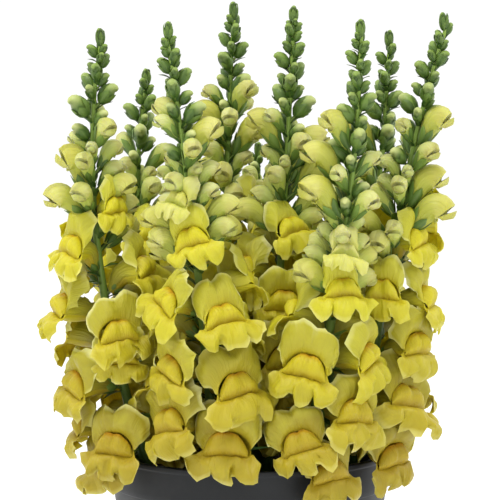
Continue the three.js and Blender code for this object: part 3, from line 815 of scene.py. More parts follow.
STEM_MESH = {"rows": 64, "sides": 14, "top": 0.975, "swelling": 0.35, "ribs": 0.05}
SEPAL_SHEET = grid_sheet(*SEPALS["grid"], pinched=True)
BLADE_SHEET = grid_sheet(*BLADE_GRID, pinched=True)


def spline_path(shape, rows):
    """A smooth middle line, the half widths along it, and how far along it each point is."""
    at = np.linspace(0, len(shape["path"]) - 1, rows)
    weights = spline_weights(len(shape["path"]), at)
    return weights @ np.array(shape["path"], float), weights @ np.array(shape["widths"]), at / at[-1]


def add_bud(builder, frame, shape, tints_at, random, fold=0.0):
    """A closed bud whose nose hooks over. fold is how deep the line between its lips is."""
    rows, sides = shape["rows"], shape["sides"]
    line, radii, t = spline_path(shape, rows)
    centres = np.stack([line[:, 0], random.normal(0, 0.5) * t**2, line[:, 1]], axis=-1)
    rings = tube_points(centres, np.maximum(radii, 0.15), sides)
    t, a = t[:, None], around(sides)[None]
    swell = 1 + 0.05 * np.cos(2 * a) + 0.035 * np.cos(5 * a + random.uniform(0, 6))
    head = smooth((t - 0.4) * 3)
    swell = swell + fold * head * (0.3 * np.cos(3 * a + random.uniform(0, 6)) + 0.25 * np.cos(2 * a))
    swell = swell - fold * 0.5 * np.exp(-((a - math.pi) ** 2) / 0.1) * smooth((t - 0.7) * 4)
    neck = bell(t, random.uniform(0.5, 0.6), 0.09)
    mouth = bell(t, 0.74 - 0.06 * np.cos(a), 0.06)
    swell = swell - fold * (0.4 * neck + 0.55 * mouth) * smooth(-0.1 - np.cos(a))
    points, faces = closed_tube(centres[:, None] + (rings - centres[:, None]) * swell[:, :, None])
    tints = spread((rows, sides), *tints_at(t, a))
    grains = spread((rows, sides), a * 2, t * 3, random.uniform(0, 99))
    builder.add(frame.place(points), faces, with_ends(tints), with_ends(grains))


def add_sepals(builder, frame, shape, start, length, girth, random, tint):
    """Five pointed sepals that hug a bud or a flower's tube from its foot."""
    line, radii, _ = spline_path(shape, SEPALS["path_rows"])
    run = np.concatenate([[0], np.cumsum(np.linalg.norm(np.diff(line, axis=0), axis=1))])
    b, c = np.linspace(0, 1, SEPALS["grid"][0]), np.linspace(-1, 1, SEPALS["grid"][1])[None]
    blade = np.sin(np.pi * (0.16 + 0.84 * b)) ** 0.8
    first = random.uniform(0, ROUND)
    for k in range(SEPALS["count"]):
        reach = length * random.uniform(0.85, 1.12)
        along, over, radius = (np.interp(start + b * reach, run, v) for v in (line[:, 0], line[:, 1], radii))
        radius = radius + SEPALS["clear"] + 0.25 * b**2 * random.uniform(0, 1.6)
        ahead = np.gradient(np.stack([along, over], axis=-1), axis=0)
        ahead /= np.linalg.norm(ahead, axis=1, keepdims=True)
        turn = first + k / SEPALS["count"] * 2 * math.pi + random.normal(0, 0.08)
        half = girth * blade / SEPALS["count"] * math.pi
        a = turn + c * half[:, None]
        r = np.maximum(radius, SEPALS["least_radius"])[:, None] + (1 - c**2) * 0.12
        rise = r * np.cos(a)
        points = spread(
            SEPALS["grid"], along[:, None] - rise * ahead[:, 1:], r * np.sin(a), over[:, None] + rise * ahead[:, :1],
        )
        light = (0.4 + 0.9 * b) * tint[1] * random.uniform(0.6, 1.4)
        tints = spread(SEPALS["grid"], b[:, None], 1 - np.abs(c), tint[0], light[:, None])
        builder.add_sheet(frame, SEPAL_SHEET, points, SEPALS["thickness"], tints)


def add_stalk(builder, frame, start, end, radius, tint):
    """The short stalk between a stem and a calyx."""
    rings = STALK["rings"]
    path = spread((rings,), np.linspace(start, end, rings), 0.0, 0.0)
    points, faces = closed_tube(tube_points(path, np.linspace(radius * 0.85, radius * 1.15, rings), STALK["sides"]))
    builder.add(frame.place(points), faces, (0.3, 0.4, *tint))


def add_blade(builder, frame, start, length, width, droop, thickness, random, tint):
    """A lance-shaped leaf or bract, folded along its midrib, that arches over."""
    b, c = np.linspace(0, 1, BLADE_GRID[0])[:, None], np.linspace(-1, 1, BLADE_GRID[1])[None]
    outline = np.sin(np.pi * np.clip(0.06 + 0.94 * b, 0, 1) ** 0.8) ** 0.85
    half = np.maximum(outline * width / 2, 0.12)
    along = start + b * (length - start)
    arch = 4 * b * (1 - b) * length * 0.045 - droop * b**2.2
    sway = random.normal(0, 0.05) * length * b**2
    twist = random.normal(0, 0.25) * b
    side, fold = c * half, np.abs(c) * half * 0.28
    wave = 0.03 * width * np.sin(b * 9 + random.uniform(0, 6)) * c**2
    points = spread(BLADE_GRID, along, sway + side * np.cos(twist), arch + fold + wave + side * np.sin(twist))
    tints = spread(BLADE_GRID, b, 1 - np.abs(c), *tint)
    grains = spread(BLADE_GRID, c, b, random.uniform(0, 99))
    builder.add_sheet(frame, BLADE_SHEET, points, thickness, tints, grains)


def add_stem(builder, name):
    """The stem itself, faintly ribbed and a little thicker towards its foot."""
    rows, sides = STEM_MESH["rows"], STEM_MESH["sides"]
    t = np.linspace(0, STEM_MESH["top"], rows)
    path = bezier(STEMS[name]["axis"], t)
    radii = stem_radius(name, path[:, 2]) + STEM_MESH["swelling"] * smooth((0.75 - t) * 3)
    points, faces = closed_tube(tube_points(path, radii, sides, over=(0.0, -1.0, 0.0), ribs=STEM_MESH["ribs"]))
    builder.add(points, faces, with_ends(spread((rows, sides), t[:, None], 0.5, 0.0, t[:, None])))


def pale_tints(age):
    """Edge, palate, deeper tone and age of a pale bud, from its foot to its nose. The deeper tone is its greener foot,
    its own colour, and painted shade on its underside.
    """

    def at(t, a):
        nose = smooth((t - 0.4) / 0.4)
        # the underside, darkened as painted shade
        under = smooth(-np.cos(a))
        return 0.6 * nose, 0.0, 0.42 * (1 - nose) + 0.28 * under, age

    return at


def green_tints(cap):
    """Length, rib, paleness and lightness of a green bud. cap is how pale its nose is. The lightness is painted light,
    lighter on the bud's upper side and darker beneath, and the pale nose is paler on top as a painted highlight.
    """

    def at(t, a):
        # painted light: the upper side lighter and the underside darker, and the pale nose paler on top
        upper = smooth(0.5 + 0.6 * np.cos(a))
        pale = cap * smooth((t - 0.5) / 0.3) * (0.35 + 0.65 * upper)
        return t, 0.5 + 0.5 * np.cos(5 * a), pale, 0.15 + 0.6 * upper

    return at


# ---------------------------------------------------------------- materials


def material(name, roughness, specular=0.5):
    made = bpy.data.materials.new(name)
    made.use_nodes = True
    shader = made.node_tree.nodes["Principled BSDF"]
    shader.inputs["Roughness"].default_value = roughness
    shader.inputs["Specular IOR Level"].default_value = specular
    return made, made.node_tree, shader


def node(tree, kind, **settings):
    made = tree.nodes.new(kind)
    for key, value in settings.items():
        if key in made.inputs:
            made.inputs[key].default_value = value
        else:
            setattr(made, key, value)
    return made


def mixed(tree, factor, first, second, blend="MIX"):
    """A colour mix. factor, first and second are sockets or plain values."""
    made = node(tree, "ShaderNodeMix", data_type="RGBA", blend_type=blend)
    for index, value in ((0, factor), (6, first), (7, second)):
        if isinstance(value, bpy.types.NodeSocket):
            tree.links.new(value, made.inputs[index])
        else:
            made.inputs[index].default_value = (*value, 1.0) if index else value
    return made.outputs[2]


def product(tree, first, second):
    return mixed(tree, 1.0, first, second, "MULTIPLY")


def ramp(tree, value, low, high, to_low=0.0, to_high=1.0):
    made = tree.nodes.new("ShaderNodeMapRange")
    for index, number in ((1, low), (2, high), (3, to_low), (4, to_high)):
        made.inputs[index].default_value = number
    tree.links.new(value, made.inputs[0])
    return made.outputs[0]


def layered(tree, colour, *layers):
    """A colour with others laid over it in turn. Each layer is (value, low, high, amount, colour),
    and as its value goes from low to high it comes on, up to that amount."""
    for value, low, high, amount, over in layers:
        colour = mixed(tree, ramp(tree, value, low, high, 0.0, amount), colour, over)
    return colour


def noise_at(tree, where, scale, detail, roughness):
    made = node(tree, "ShaderNodeTexNoise", Scale=scale, Detail=detail, Roughness=roughness)
    tree.links.new(where, made.inputs["Vector"])
    return made.outputs["Fac"]


def noise(tree, scale, detail=3.0, roughness=0.5):
    """Noise in object space; scale is in waves a metre."""
    return noise_at(tree, tree.nodes.new("ShaderNodeTexCoord").outputs["Object"], scale, detail, roughness)


def streaks(tree, across, along):
    """Noise drawn out along each petal or leaf, by its grain attribute."""
    read = node(tree, "ShaderNodeAttribute", attribute_name="grain")
    mapping = node(tree, "ShaderNodeMapping", Scale=(across, along, 1.0))
    tree.links.new(read.outputs["Vector"], mapping.inputs["Vector"])
    return noise_at(tree, mapping.outputs["Vector"], 1.0, 3.0, 0.55)


def tint_channels(tree):
    """The four numbers of the tint attribute."""
    read = node(tree, "ShaderNodeAttribute", attribute_name="tint")
    split = tree.nodes.new("ShaderNodeSeparateColor")
    tree.links.new(read.outputs["Color"], split.inputs[0])
    return split.outputs[0], split.outputs[1], split.outputs[2], read.outputs["Alpha"]


def coat(tree, shader, colour, relief, distance, strength, glow=()):
    """Gives a shader its colour and its relief, and as glow the weight, the radius and the scale of
    the light that passes under its surface."""
    tree.links.new(colour, shader.inputs["Base Color"])
    bump = node(tree, "ShaderNodeBump", Strength=strength, Distance=distance)
    tree.links.new(relief, bump.inputs["Height"])
    tree.links.new(bump.outputs["Normal"], shader.inputs["Normal"])
    for key, value in zip(("Weight", "Radius", "Scale"), glow):
        shader.inputs[f"Subsurface {key}"].default_value = value


def petal_material():
    made, tree, shader = material("petal", 0.46, 0.3)
    edge, palate, foot_tone_and_painted_shade, age = tint_channels(tree)
    veins, patches = streaks(tree, 2.6, 0.35), noise(tree, 90)
    body = layered(
        tree, (0.28, 0.22, 0.011),
        (age, 0.0, 1.0, 1.0, (0.50, 0.48, 0.034)),
        (patches, 0.4, 0.7, 0.45, (0.50, 0.47, 0.038)),
        # painted shade, with the tube's own olive tone: darker deep in the tube and throat
        (foot_tone_and_painted_shade, 0.0, 1.0, 0.8, (0.25, 0.225, 0.02)),
        (veins, 0.45, 0.75, 0.28, (0.36, 0.33, 0.035)),
    )
    margin = ramp(tree, noise(tree, 60, 2.0), 0.38, 0.6, 0.15, 1.0)
    margin = product(tree, ramp(tree, edge, 0.3, 1.0, 0.0, 0.9), margin)
    body = mixed(tree, margin, body, (0.78, 0.75, 0.30))
    gold = layered(tree, (0.38, 0.28, 0.012), (age, 0.0, 0.9, 1.0, (0.60, 0.53, 0.014)))
    crest = product(tree, ramp(tree, edge, 0.1, 1.0, 0.0, 0.75), ramp(tree, palate, 0.93, 1.0))
    gold = layered(
        tree, mixed(tree, crest, gold, (0.52, 0.20, 0.014)),
        # painted shade: darker ochre in the crease below the palate and deep in the lower lip's throat
        (foot_tone_and_painted_shade, 0.1, 1.0, 0.6, (0.34, 0.22, 0.02)),
        (veins, 0.45, 0.8, 0.3, (0.42, 0.29, 0.02)),
    )
    bud = layered(
        tree, (0.55, 0.55, 0.12),
        (age, 1.2, 1.5, 1.0, (0.53, 0.57, 0.18)),
        (patches, 0.4, 0.65, 0.5, (0.72, 0.71, 0.38)),
        # the bud's greener foot, its own colour, and painted shade on its underside
        (foot_tone_and_painted_shade, 0.02, 0.5, 1.0, (0.42, 0.50, 0.10)),
        (veins, 0.5, 0.8, 0.35, (0.30, 0.34, 0.07)),
    )
    specks = ramp(tree, noise(tree, 150), 0.4, 0.65, 0.0, 0.6)
    nose = product(tree, ramp(tree, edge, 0.25, 0.6), specks)
    bud = mixed(tree, nose, bud, (0.40, 0.35, 0.09))
    colour = layered(tree, mixed(tree, palate, body, gold), (age, 1.05, 1.4, 1.0, bud))
    coat(tree, shader, colour, veins, 0.0009, 0.7, glow=(0.4, (1.0, 0.85, 0.12), 0.0018))
    return made


def green_material():
    made, tree, shader = material("green", 0.45, 0.35)
    _, rib, pale, light = tint_channels(tree)
    colour = layered(
        tree, (0.018, 0.053, 0.007),
        (noise(tree, 160), 0.3, 0.7, 1.0, (0.05, 0.11, 0.015)),
        # lighter green by the light tint: painted light on the upper side of each bud, and lighter towards the sepals'
        # tips and up the stem
        (light, 0.1, 1.0, 0.9, (0.275, 0.41, 0.065)),
        (rib, 0.6, 1.0, 0.3, (0.17, 0.25, 0.045)),
    )
    colour = mixed(tree, pale, colour, (0.56, 0.59, 0.22))
    coat(tree, shader, colour, noise(tree, 1500, 2.0), 0.00015, 0.5, glow=(0.1, (0.5, 0.9, 0.2), 0.001))
    return made


def leaf_material():
    made, tree, shader = material("leaf", 0.45, 0.45)
    veins = streaks(tree, 1.5, 6.0)
    colour = layered(
        tree, (0.022, 0.065, 0.012),
        (noise(tree, 120, 4.0), 0.3, 0.7, 1.0, (0.055, 0.125, 0.022)),
        (veins, 0.5, 0.75, 0.35, (0.09, 0.17, 0.04)),
        (tint_channels(tree)[1], 0.82, 1.0, 0.7, (0.16, 0.26, 0.07)),
    )
    coat(tree, shader, colour, veins, 0.0005, 0.6, glow=(0.08, (0.4, 0.8, 0.2), 0.001))
    return made


def pot_material():
    made, tree, shader = material("pot", 0.5, 0.3)
    cloud = noise(tree, 45, 5.0, 0.6)
    colour = layered(tree, (0.008, 0.009, 0.010), (cloud, 0.5, 0.8, 0.35, (0.045, 0.045, 0.042)))
    tree.links.new(ramp(tree, cloud, 0.3, 0.8, 0.42, 0.62), shader.inputs["Roughness"])
    coat(tree, shader, colour, noise(tree, 2200, 2.0), 0.00005, 0.5)
    return made


def soil_material():
    made, tree, shader = material("soil", 0.95, 0.2)
    crumbs = noise(tree, 320, 5.0, 0.7)
    colour = layered(tree, (0.012, 0.007, 0.004), (crumbs, 0.3, 0.75, 1.0, (0.06, 0.035, 0.018)))
    coat(tree, shader, colour, noise(tree, 900, 5.0, 0.7), 0.001, 0.8)
    return made


# ---------------------------------------------------------------- pot and soil


BAND_FOOT = POT["height"] - POT["band_height"]
BASE_RADIUS = DRAIN["ring"] + DRAIN["radius"] + 2  # where the pot's wall ends and its pierced base begins
PLAIN = (0, 0, 0, 0)
SIDES = 120
SOIL_MESH = {"rings": 42, "middle": 0.6, "edge_drop": 2, "grit": 0.35, "seed": 5}
CRUMBS = ((14, 0.9), (7, 0.7), (3.5, 0.45), (2.2, 0.3))  # their widths and heights


def pot_radius(height):
    share = height / BAND_FOOT
    return POT["foot"] + (POT["rim"] - POT["band_depth"] - POT["foot"]) * share


def lathe(profile, sides):
    """The rings that a profile of (radius, height) makes when it is turned about the upright axis."""
    profile, a = np.asarray(profile, float), around(sides)
    radii, heights = profile[:, :1], profile[:, 1:]
    return np.stack([radii * np.cos(a), radii * np.sin(a), np.repeat(heights, sides, axis=1)], axis=-1)


def rounded(profile, radius, steps=3):
    """A profile with its corners rounded, but for its first and last points."""
    out = [profile[0]]
    for before, corner, after in zip(profile, profile[1:], profile[2:]):
        before, corner, after = (np.asarray(p, float) for p in (before, corner, after))
        back, on = before - corner, after - corner
        cut = min(radius, np.linalg.norm(back) * 0.45, np.linalg.norm(on) * 0.45)
        start = corner + back / np.linalg.norm(back) * cut
        end = corner + on / np.linalg.norm(on) * cut
        for t in np.arange(steps + 1) / steps:
            out.append((1 - t) ** 2 * start + 2 * (1 - t) * t * corner + t**2 * end)
    out.append(profile[-1])
    return np.array(out, float)


def add_pot(builder):
    """The nursery pot: a drawn-in foot, a rim band with a rolled lip, and drain holes."""
    top, rim, foot, wall = POT["height"], POT["rim"], POT["foot"], POT["wall"]
    shell = rounded([
        (BASE_RADIUS, 0.0), (foot, 0.0), (pot_radius(3), 3.0), (pot_radius(BAND_FOOT), BAND_FOOT),
        (rim - 0.6, BAND_FOOT), (rim - 0.3, BAND_FOOT + 2), (rim - 0.3, top - 2.6), (rim, top - 2.0), (rim, top),
        (rim - POT["band_depth"] - wall, top), (pot_radius(BAND_FOOT) - wall, BAND_FOOT), (foot - wall, wall),
        (BASE_RADIUS, wall),
    ], 0.6)
    builder.add(lathe(shell, SIDES).reshape(-1, 3), [grid_quads(ring_ids(len(shell), SIDES))], PLAIN)
    add_pot_base(builder)


def add_pot_base(builder):
    """The pot's base inside its foot ring, with a round hole at each drain."""
    count = DRAIN["count"]
    arc = np.arange(SIDES // count + 1) / (SIDES // count)
    # Round a drain's sector: along its arc, in by its one side and out by the other.
    reach = BASE_RADIUS * np.concatenate([np.ones(len(arc)), [0.75, 0.5, 0.25, 0, 0.25, 0.5, 0.75]])
    turn = np.concatenate([arc, [1, 1, 1, 1, 0, 0, 0]])
    n = len(turn)
    points, quads = [], []
    for level in (0.0, POT["wall"]):
        for k in range(count):
            a, middle = (k + turn) * 2 * math.pi / count, (k + 0.5) * 2 * math.pi / count
            outline = reach[:, None] * np.stack([np.cos(a), np.sin(a)], axis=-1)
            hole = DRAIN["ring"] * np.array([math.cos(middle), math.sin(middle)])
            toward = np.arctan2(outline[:, 1] - hole[1], outline[:, 0] - hole[0])
            inner = hole + DRAIN["radius"] * np.stack([np.cos(toward), np.sin(toward)], axis=-1)
            faces = grid_quads(ring_ids(2, n)) + 2 * n * len(points)
            quads.append(faces[:, ::-1] if level == 0.0 else faces)
            points.append(spread((2 * n,), *np.vstack([outline, inner]).T, level))
    for k in range(count):
        low = 2 * n * k + n + np.arange(n)
        ids = np.array([low + 2 * n * count, low])
        quads.append(grid_quads(np.hstack([ids, ids[:, :1]])))
    builder.add(np.vstack(points), quads, PLAIN)


def add_soil(builder, random):
    """The soil's rough crumbly top, carried down inside the pot."""
    inset, middle = POT["wall"] + SOIL["gap"], SOIL_MESH["middle"]
    edge = pot_radius(BAND_FOOT) - inset
    radii = np.linspace(middle, edge, SOIL_MESH["rings"])
    levels = [SOIL["top"] + SOIL["mound"], SOIL["top"], SOIL["top"] - SOIL_MESH["edge_drop"]]
    grid = lathe(np.stack([radii, np.interp(radii, [0, edge * 0.7, edge], levels)], axis=-1), SIDES)
    x, y = grid[..., 0], grid[..., 1]
    rough = np.zeros_like(x)
    for wave, height in CRUMBS:
        turn, shift_u, shift_v = random.uniform(0, ROUND / 2), random.uniform(0, 50), random.uniform(0, 50)
        u = (x * math.cos(turn) - y * math.sin(turn) + shift_u) * ROUND / wave
        v = (x * math.sin(turn) + y * math.cos(turn) + shift_v) * ROUND / wave
        rough += height * np.sin(u + 1.3 * np.sin(v * 0.7)) * np.cos(v)
    rough += random.normal(0, SOIL_MESH["grit"], rough.shape)
    grid[..., 2] += rough * smooth((edge - radii) / 3)[:, None]
    foot = [(edge, BAND_FOOT), (pot_radius(inset) - inset, inset), (middle, inset)]
    points, faces = closed_tube(np.concatenate([grid, lathe(foot, SIDES)]))
    builder.add(points, [f[:, ::-1] for f in faces], PLAIN)


# ---------------------------------------------------------------- the plant


def bearing_of(frame):
    return math.degrees(math.atan2(frame.axes[1][1], frame.axes[1][0]))


def add_bract(builder, frame, drop, incline, length, width, random):
    """The small pointed leaf beneath a flower or bud."""
    beneath = Frame(frame.origin - np.array([0, 0, drop]), bearing_of(frame), incline, frame.size)
    add_blade(builder, beneath, 0.8, length, width, length * 0.12, 0.3, random, (0.0, 0.0))


def add_bloom(yellow, green, pattern, root, face, share, random):
    add_flower(yellow, pattern, root, face, share, random)
    add_stalk(green, root, 0.5, 5.2, 0.8, (0.1, 0.4))
    add_sepals(green, root, CALYX_SHAPE, 0.0, 6.2, 1.0, random, (0.0, 0.4))
    add_bract(green, root, 1.5, root.incline - 18, 11.0, 3.6, random)


def add_pale_bud(yellow, green, frame, random, cup=7.0):
    """A bud about to open, yellower the bigger it is. cup is how long its sepals are."""
    age = float(np.clip(2.05 - 0.7 * frame.size, 1.2, 1.6))
    add_bud(yellow, frame, PALE_SHAPE, pale_tints(age), random, fold=0.22)
    add_stalk(green, frame, 0.5, 5.0, 0.75, (0.1, 0.5))
    add_sepals(green, frame, PALE_SHAPE, 0.0, cup, 1.0, random, (0.0, 0.4))
    add_bract(green, frame, 1.2, 40, 10.0, 3.4, random)


def add_green_bud(green, frame, share, random):
    """A green bud in its sepals. share is how far up the green buds it is: the lowest have pale
    noses."""
    cap = float(np.clip(1.2 - 1.5 * share, 0.08, 1.0))
    add_stalk(green, frame, 0.4, 3.4, 0.62, (0.1, 0.5))
    add_bud(green, frame, GREEN_SHAPE, green_tints(cap), random)
    add_sepals(green, frame, GREEN_SHAPE, 0.3, 6.4 + 1.6 * share, 1.12, random, (0.0, 0.3))
    add_bract(green, frame, 1.0, random.uniform(26, 50), 8.5, 3.4, random)


class Crowd:
    """The room that the flowers and buds of the plant take, so that more can stand among them."""

    def __init__(self, items):
        self.centres, self.radii = np.zeros((0, 3)), np.zeros(0)
        for item in items:
            if item["kind"] == "bloom":
                self.take(*self.balls(item["frames"][1], "face"))
            if item["kind"] in ("pale_bud", "green_bud"):
                self.take(*self.balls(item["frames"][0], item["kind"]))

    def balls(self, frame, kind):
        room = np.array(ROOM[kind])
        return frame.place(room[:, :3]), room[:, 3] * frame.size

    def take(self, centres, radii):
        self.centres = np.vstack([self.centres, centres])
        self.radii = np.concatenate([self.radii, radii])

    def takes(self, centres, radii, share):
        """Whether there is room, which is then taken."""
        gaps = np.linalg.norm(centres[:, None] - self.centres[None], axis=2)
        room = bool(np.all(gaps > (radii[:, None] + self.radii[None]) * share))
        if room:
            self.take(centres, radii)
        return room

    def settle(self, kind, name, height, bearing, incline, size, share, turns=asides(25, 3)):
        """The first frame near a bearing that has room, or None."""
        for aside in turns:
            frame = Frame(axis_at(name, height), bearing + aside, incline, size)
            if self.takes(*self.balls(frame, kind), share):
                return frame
        return None

    def settle_bloom(self, name, height, bearing, inclines, size, share):
        """The first root and face of a bloom near a bearing that have room, or None."""
        for aside in asides(15, 2):
            root = Frame(axis_at(name, height), bearing + aside, inclines[0], size)
            face = Frame(root.place([BLOOM["reach"], 0, 0]), bearing + aside, inclines[1], size)
            centres, radii = self.balls(face, "face")
            if clear_of_pot(centres, radii) and self.takes(centres, radii, share):
                return root, face
        return None


def between(crowd, kind, name, low, high, times, share):
    """The frame of a smaller bud that finds room between two, on the stem's other side."""
    level = low.axes[0][:2] + high.axes[0][:2]
    bearing = math.degrees(math.atan2(-level[0], level[1]))
    height = (low.origin[2] + high.origin[2]) / 2
    incline = (low.incline + high.incline) / 2 + 4
    return crowd.settle(kind, name, height, bearing, incline, times * (low.size + high.size) / 2, share)


def add_green_buds(yellow, green, name, buds, crowd, random):
    """A stem's green buds, with the small ones that stand among them. The lowest show their pale
    noses."""
    foot, top = buds[0].origin[2], buds[-1].origin[2] + 1e-6
    tip = STEMS[name]["axis"][3][2] - TIP["unit"]
    for bud in buds:
        share = (bud.origin[2] - foot) / (top - foot)
        if share < 0.3:
            add_pale_bud(yellow, green, bud.resized(mix((0.82, 0.72), share / 0.3)), random, cup=11.5)
        else:
            add_green_bud(green, bud.resized(mix((1.34, 1.16), share)), share, random)
    for low, high in zip(buds, buds[1:]):
        share = (low.origin[2] - foot) / (top - foot)
        times = mix((0.85, 0.95), share)
        frame = between(crowd, "green_bud", name, low, high, times, 0.75)
        if frame:
            add_green_bud(green, frame, share, random)
    height, bearing = top + 2.0, bearing_of(buds[-1]) + GOLDEN_ANGLE
    while height < tip + 1:
        size = mix((0.62, 0.4), (height - top) / (tip + 1 - top))
        add_green_bud(green, Frame(axis_at(name, height), bearing, 58, size), 1.0, random)
        height, bearing = height + 1.6, bearing + GOLDEN_ANGLE


def add_strays(yellow, green, pattern, name, crowd, random):
    """The blooms and pale buds that stand out from a raceme."""
    for kind, height, bearing, incline, size in STRAYS.get(name, ()):
        if kind == "bloom":
            frames = crowd.settle_bloom(name, height, bearing, (incline, incline * 0.3), size, 0.5)
            if frames:
                add_bloom(yellow, green, pattern, *frames, 0.95, random)
        else:
            frame = crowd.settle(kind, name, height, bearing, incline, size, 0.6, asides(12, 2))
            if frame:
                add_pale_bud(yellow, green, frame, random, cup=8.5)


def add_small_blooms(yellow, green, pattern, name, crowd, random):
    """The small blooms that fill a raceme: among the open ones, and just opened above them."""
    low, high = STEMS[name]["open"]
    among, above = SMALL_BLOOMS["among"], SMALL_BLOOMS["above"]
    count = 0
    for k, height in enumerate(np.arange(low - 2, high, among["step"])):
        share = (height - low) / (high - low)
        inclines = mix(BLOOM["incline"], share), mix(BLOOM["tilt"], share)
        bearing = outward(name) + among["bearings"][k % len(among["bearings"])]
        frames = crowd.settle_bloom(name, height, bearing, inclines, random.uniform(0.8, 0.92), 0.52)
        if frames and count < among["most"]:
            add_bloom(yellow, green, pattern, *frames, share, random)
            count += 1
    count = 0
    for k, aside in enumerate(above["bearings"]):
        height, size = high + 1 + above["step"] * k, mix((0.8, 0.66), k / (len(above["bearings"]) - 1))
        frames = crowd.settle_bloom(name, height, outward(name) + aside, (48, 22), size, 0.6)
        if frames and count < above["most"]:
            add_bloom(yellow, green, pattern, *frames, 1.1 + 0.03 * k, random)
            count += 1


def add_pale_buds(yellow, green, name, buds, crowd, random):
    """A stem's pale buds, with those that crowd among them."""
    for bud in buds:
        add_pale_bud(yellow, green, bud.resized(1.1), random)
    more = [between(crowd, "pale_bud", name, low, high, 0.9, 0.7) for low, high in zip(buds, buds[1:])]
    for k in range(MORE_PALE_BUDS["count"]):
        share = k / (MORE_PALE_BUDS["count"] - 1)
        height = STEMS[name]["open"][1] + MORE_PALE_BUDS["lead"] + PALE_BUDS["pitch"] * k
        bearing = STEMS[name]["turn"] + MORE_PALE_BUDS["turn"] + k * GOLDEN_ANGLE
        size, incline = mix(MORE_PALE_BUDS["size"], share), mix(PALE_BUDS["incline"], share)
        more.append(crowd.settle("pale_bud", name, height, bearing, incline, size, 0.8))
    for frame in more:
        if frame:
            add_pale_bud(yellow, green, frame, random)


def add_bracts(green, name, random):
    """The small leaves that stay on a stem where its flowers and pale buds stand."""
    height, bearing = SOIL["top"] + 8, random.uniform(0, 360)
    top = STEMS[name]["open"][1]
    while height < top + 36:
        above = smooth((height - top + 10) / 20)
        frame = Frame(axis_at(name, height), bearing, random.uniform(15, 50) + 25 * above, 1.0)
        length, width = random.uniform(10, 17) - 5 * above, random.uniform(3.6, 5.4) - 0.6 * above
        add_blade(green, frame, 0.8, length, width, 1.5, 0.3, random, (0.0, 0.3))
        height, bearing = height + random.uniform(4.5, 8), bearing + GOLDEN_ANGLE


def build_raceme(name, items, crowd, materials, pattern, plainer):
    """One flower stem: its yellow piece and its green ones."""
    random = np.random.RandomState(STEMS[name]["seed"])
    yellow, green, leaves = Builder(), Builder(), Builder()
    add_stem(green, name)
    for item in items:
        root = item["frames"][0]
        if item["kind"] == "bloom":
            add_bloom(yellow, green, pattern, *item["frames"], item["share"], random)
        elif item["kind"] == "leaf":
            add_blade(leaves, root, 1.0, LEAVES["length"], LEAVES["width"], 7.0, 0.5, random, (0.0, 0.0))
    add_strays(yellow, green, pattern, name, crowd, random)
    add_small_blooms(yellow, green, plainer, name, crowd, random)
    frames = {kind: [i["frames"][0] for i in items if i["kind"] == kind] for kind in ("pale_bud", "green_bud")}
    add_pale_buds(yellow, green, name, frames["pale_bud"], crowd, random)
    add_green_buds(yellow, green, name, frames["green_bud"], crowd, random)
    add_bracts(green, name, random)
    tip_height = STEMS[name]["axis"][3][2] - TIP["unit"]
    tip = Frame(axis_at(name, tip_height), 0, TIP_BUD["incline"], TIP_BUD["size"])
    slender = {**GREEN_SHAPE, "widths": [TIP_BUD["slender"] * width for width in GREEN_SHAPE["widths"]]}
    add_bud(green, tip, slender, green_tints(TIP_BUD["paleness"]), random)
    for start, length in ((0.2, 6.0), (1.6, 8.0)):
        add_sepals(green, tip, slender, start, length, 1.0, random, (0.0, 0.35))

    pieces = [yellow.piece(f"flowers_{name}", materials["petal"])]
    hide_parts(f"blooms_{name}")
    pieces.append(green.piece(f"greenery_{name}", materials["green"]))
    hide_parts(f"stem_{name}", f"blooms_{name}")
    if leaves.count:
        pieces.append(leaves.piece(f"leaves_{name}", materials["leaf"]))
        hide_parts(f"stem_{name}")
    for piece in pieces:
        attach(piece, "root")


def build_pot_and_soil(materials):
    random = np.random.RandomState(SOIL_MESH["seed"])
    pot, soil = Builder(), Builder()
    add_pot(pot)
    add_soil(soil, random)
    pot_piece = pot.piece("nursery_pot", materials["pot"])
    soil_piece = soil.piece("potting_soil", materials["soil"])
    for piece, cad_node in ((pot_piece, "pot"), (soil_piece, "soil")):
        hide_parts(cad_node)
        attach(piece, "root")


# ---------------------------------------------------------------- stage, light and camera


LIGHTS = {  # place, size and energy
    "key": ((-0.4, -0.7, 2.0), 0.7, 19),
    "fill": ((0.3, -1.8, 0.9), 1.4, 2),
    "left": ((-1.7, 0.6, 1.2), 1.0, 7),
    "right": ((1.7, 0.6, 1.2), 1.0, 7),
}
LIGHTS_AIM = (0, 0, 0.2)
CAMERA = {"elevation": 5, "distance": 1.2, "aim_height": 0.2162, "lens": 187.8, "sensor": 36}
FLOOR = {"reach": 6.0, "drop": 0.0002}


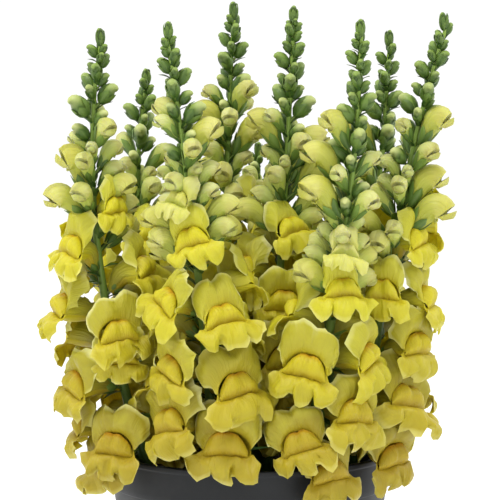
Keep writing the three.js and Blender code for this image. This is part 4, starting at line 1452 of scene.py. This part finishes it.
def build_stage():
    """A wide white floor, which meets the white surroundings far off."""
    made, _, shader = material("stage", 0.9, 0.0)
    shader.inputs["Base Color"].default_value = (0.96, 0.96, 0.96, 1.0)
    corners = ((-1, -1), (1, -1), (1, 1), (-1, 1))
    mesh = bpy.data.meshes.new("floor")
    mesh.from_pydata([(x * FLOOR["reach"], y * FLOOR["reach"], -FLOOR["drop"]) for x, y in corners], [], [(0, 1, 2, 3)])
    mesh.materials.append(made)
    floor = placed("floor", mesh)


def point_at(thing, aim):
    toward = Vector(aim) - thing.location
    thing.rotation_euler = toward.to_track_quat("-Z", "Y").to_euler()


def build_lights():
    for name, (place, size, energy) in LIGHTS.items():
        data = bpy.data.lights.new(name, "AREA")
        data.shape, data.size, data.energy = "DISK", size, energy
        light = placed(name, data)
        light.location = place
        point_at(light, LIGHTS_AIM)
    world = bpy.data.worlds.new("studio")
    world.use_nodes = True
    world.node_tree.nodes["Background"].inputs["Color"].default_value = (1, 1, 1, 1)
    world.node_tree.nodes["Background"].inputs["Strength"].default_value = 1.06
    bpy.context.scene.world = world


def build_camera():
    data = bpy.data.cameras.new("camera")
    data.lens, data.sensor_width, data.clip_start = CAMERA["lens"], CAMERA["sensor"], 0.01
    camera = placed("camera", data)
    tilt = math.radians(CAMERA["elevation"])
    rise = CAMERA["distance"] * math.sin(tilt)
    camera.location = (0, -CAMERA["distance"] * math.cos(tilt), CAMERA["aim_height"] + rise)
    point_at(camera, (0, 0, CAMERA["aim_height"]))
    bpy.context.scene.camera = camera


def main():
    materials = {
        "petal": petal_material(),
        "green": green_material(),
        "leaf": leaf_material(),
        "pot": pot_material(),
        "soil": soil_material(),
    }
    patterns = FlowerPattern(FINE), FlowerPattern(PLAINER)
    items = lay_out()
    crowd = Crowd(items)
    for name in STEMS:
        build_raceme(name, [i for i in items if i["stem"] == name], crowd, materials, *patterns)
    build_pot_and_soil(materials)
    build_stage()
    build_lights()
    build_camera()
    bpy.context.scene.view_settings.view_transform = "Standard"

    bpy.context.view_layer.update()


main()
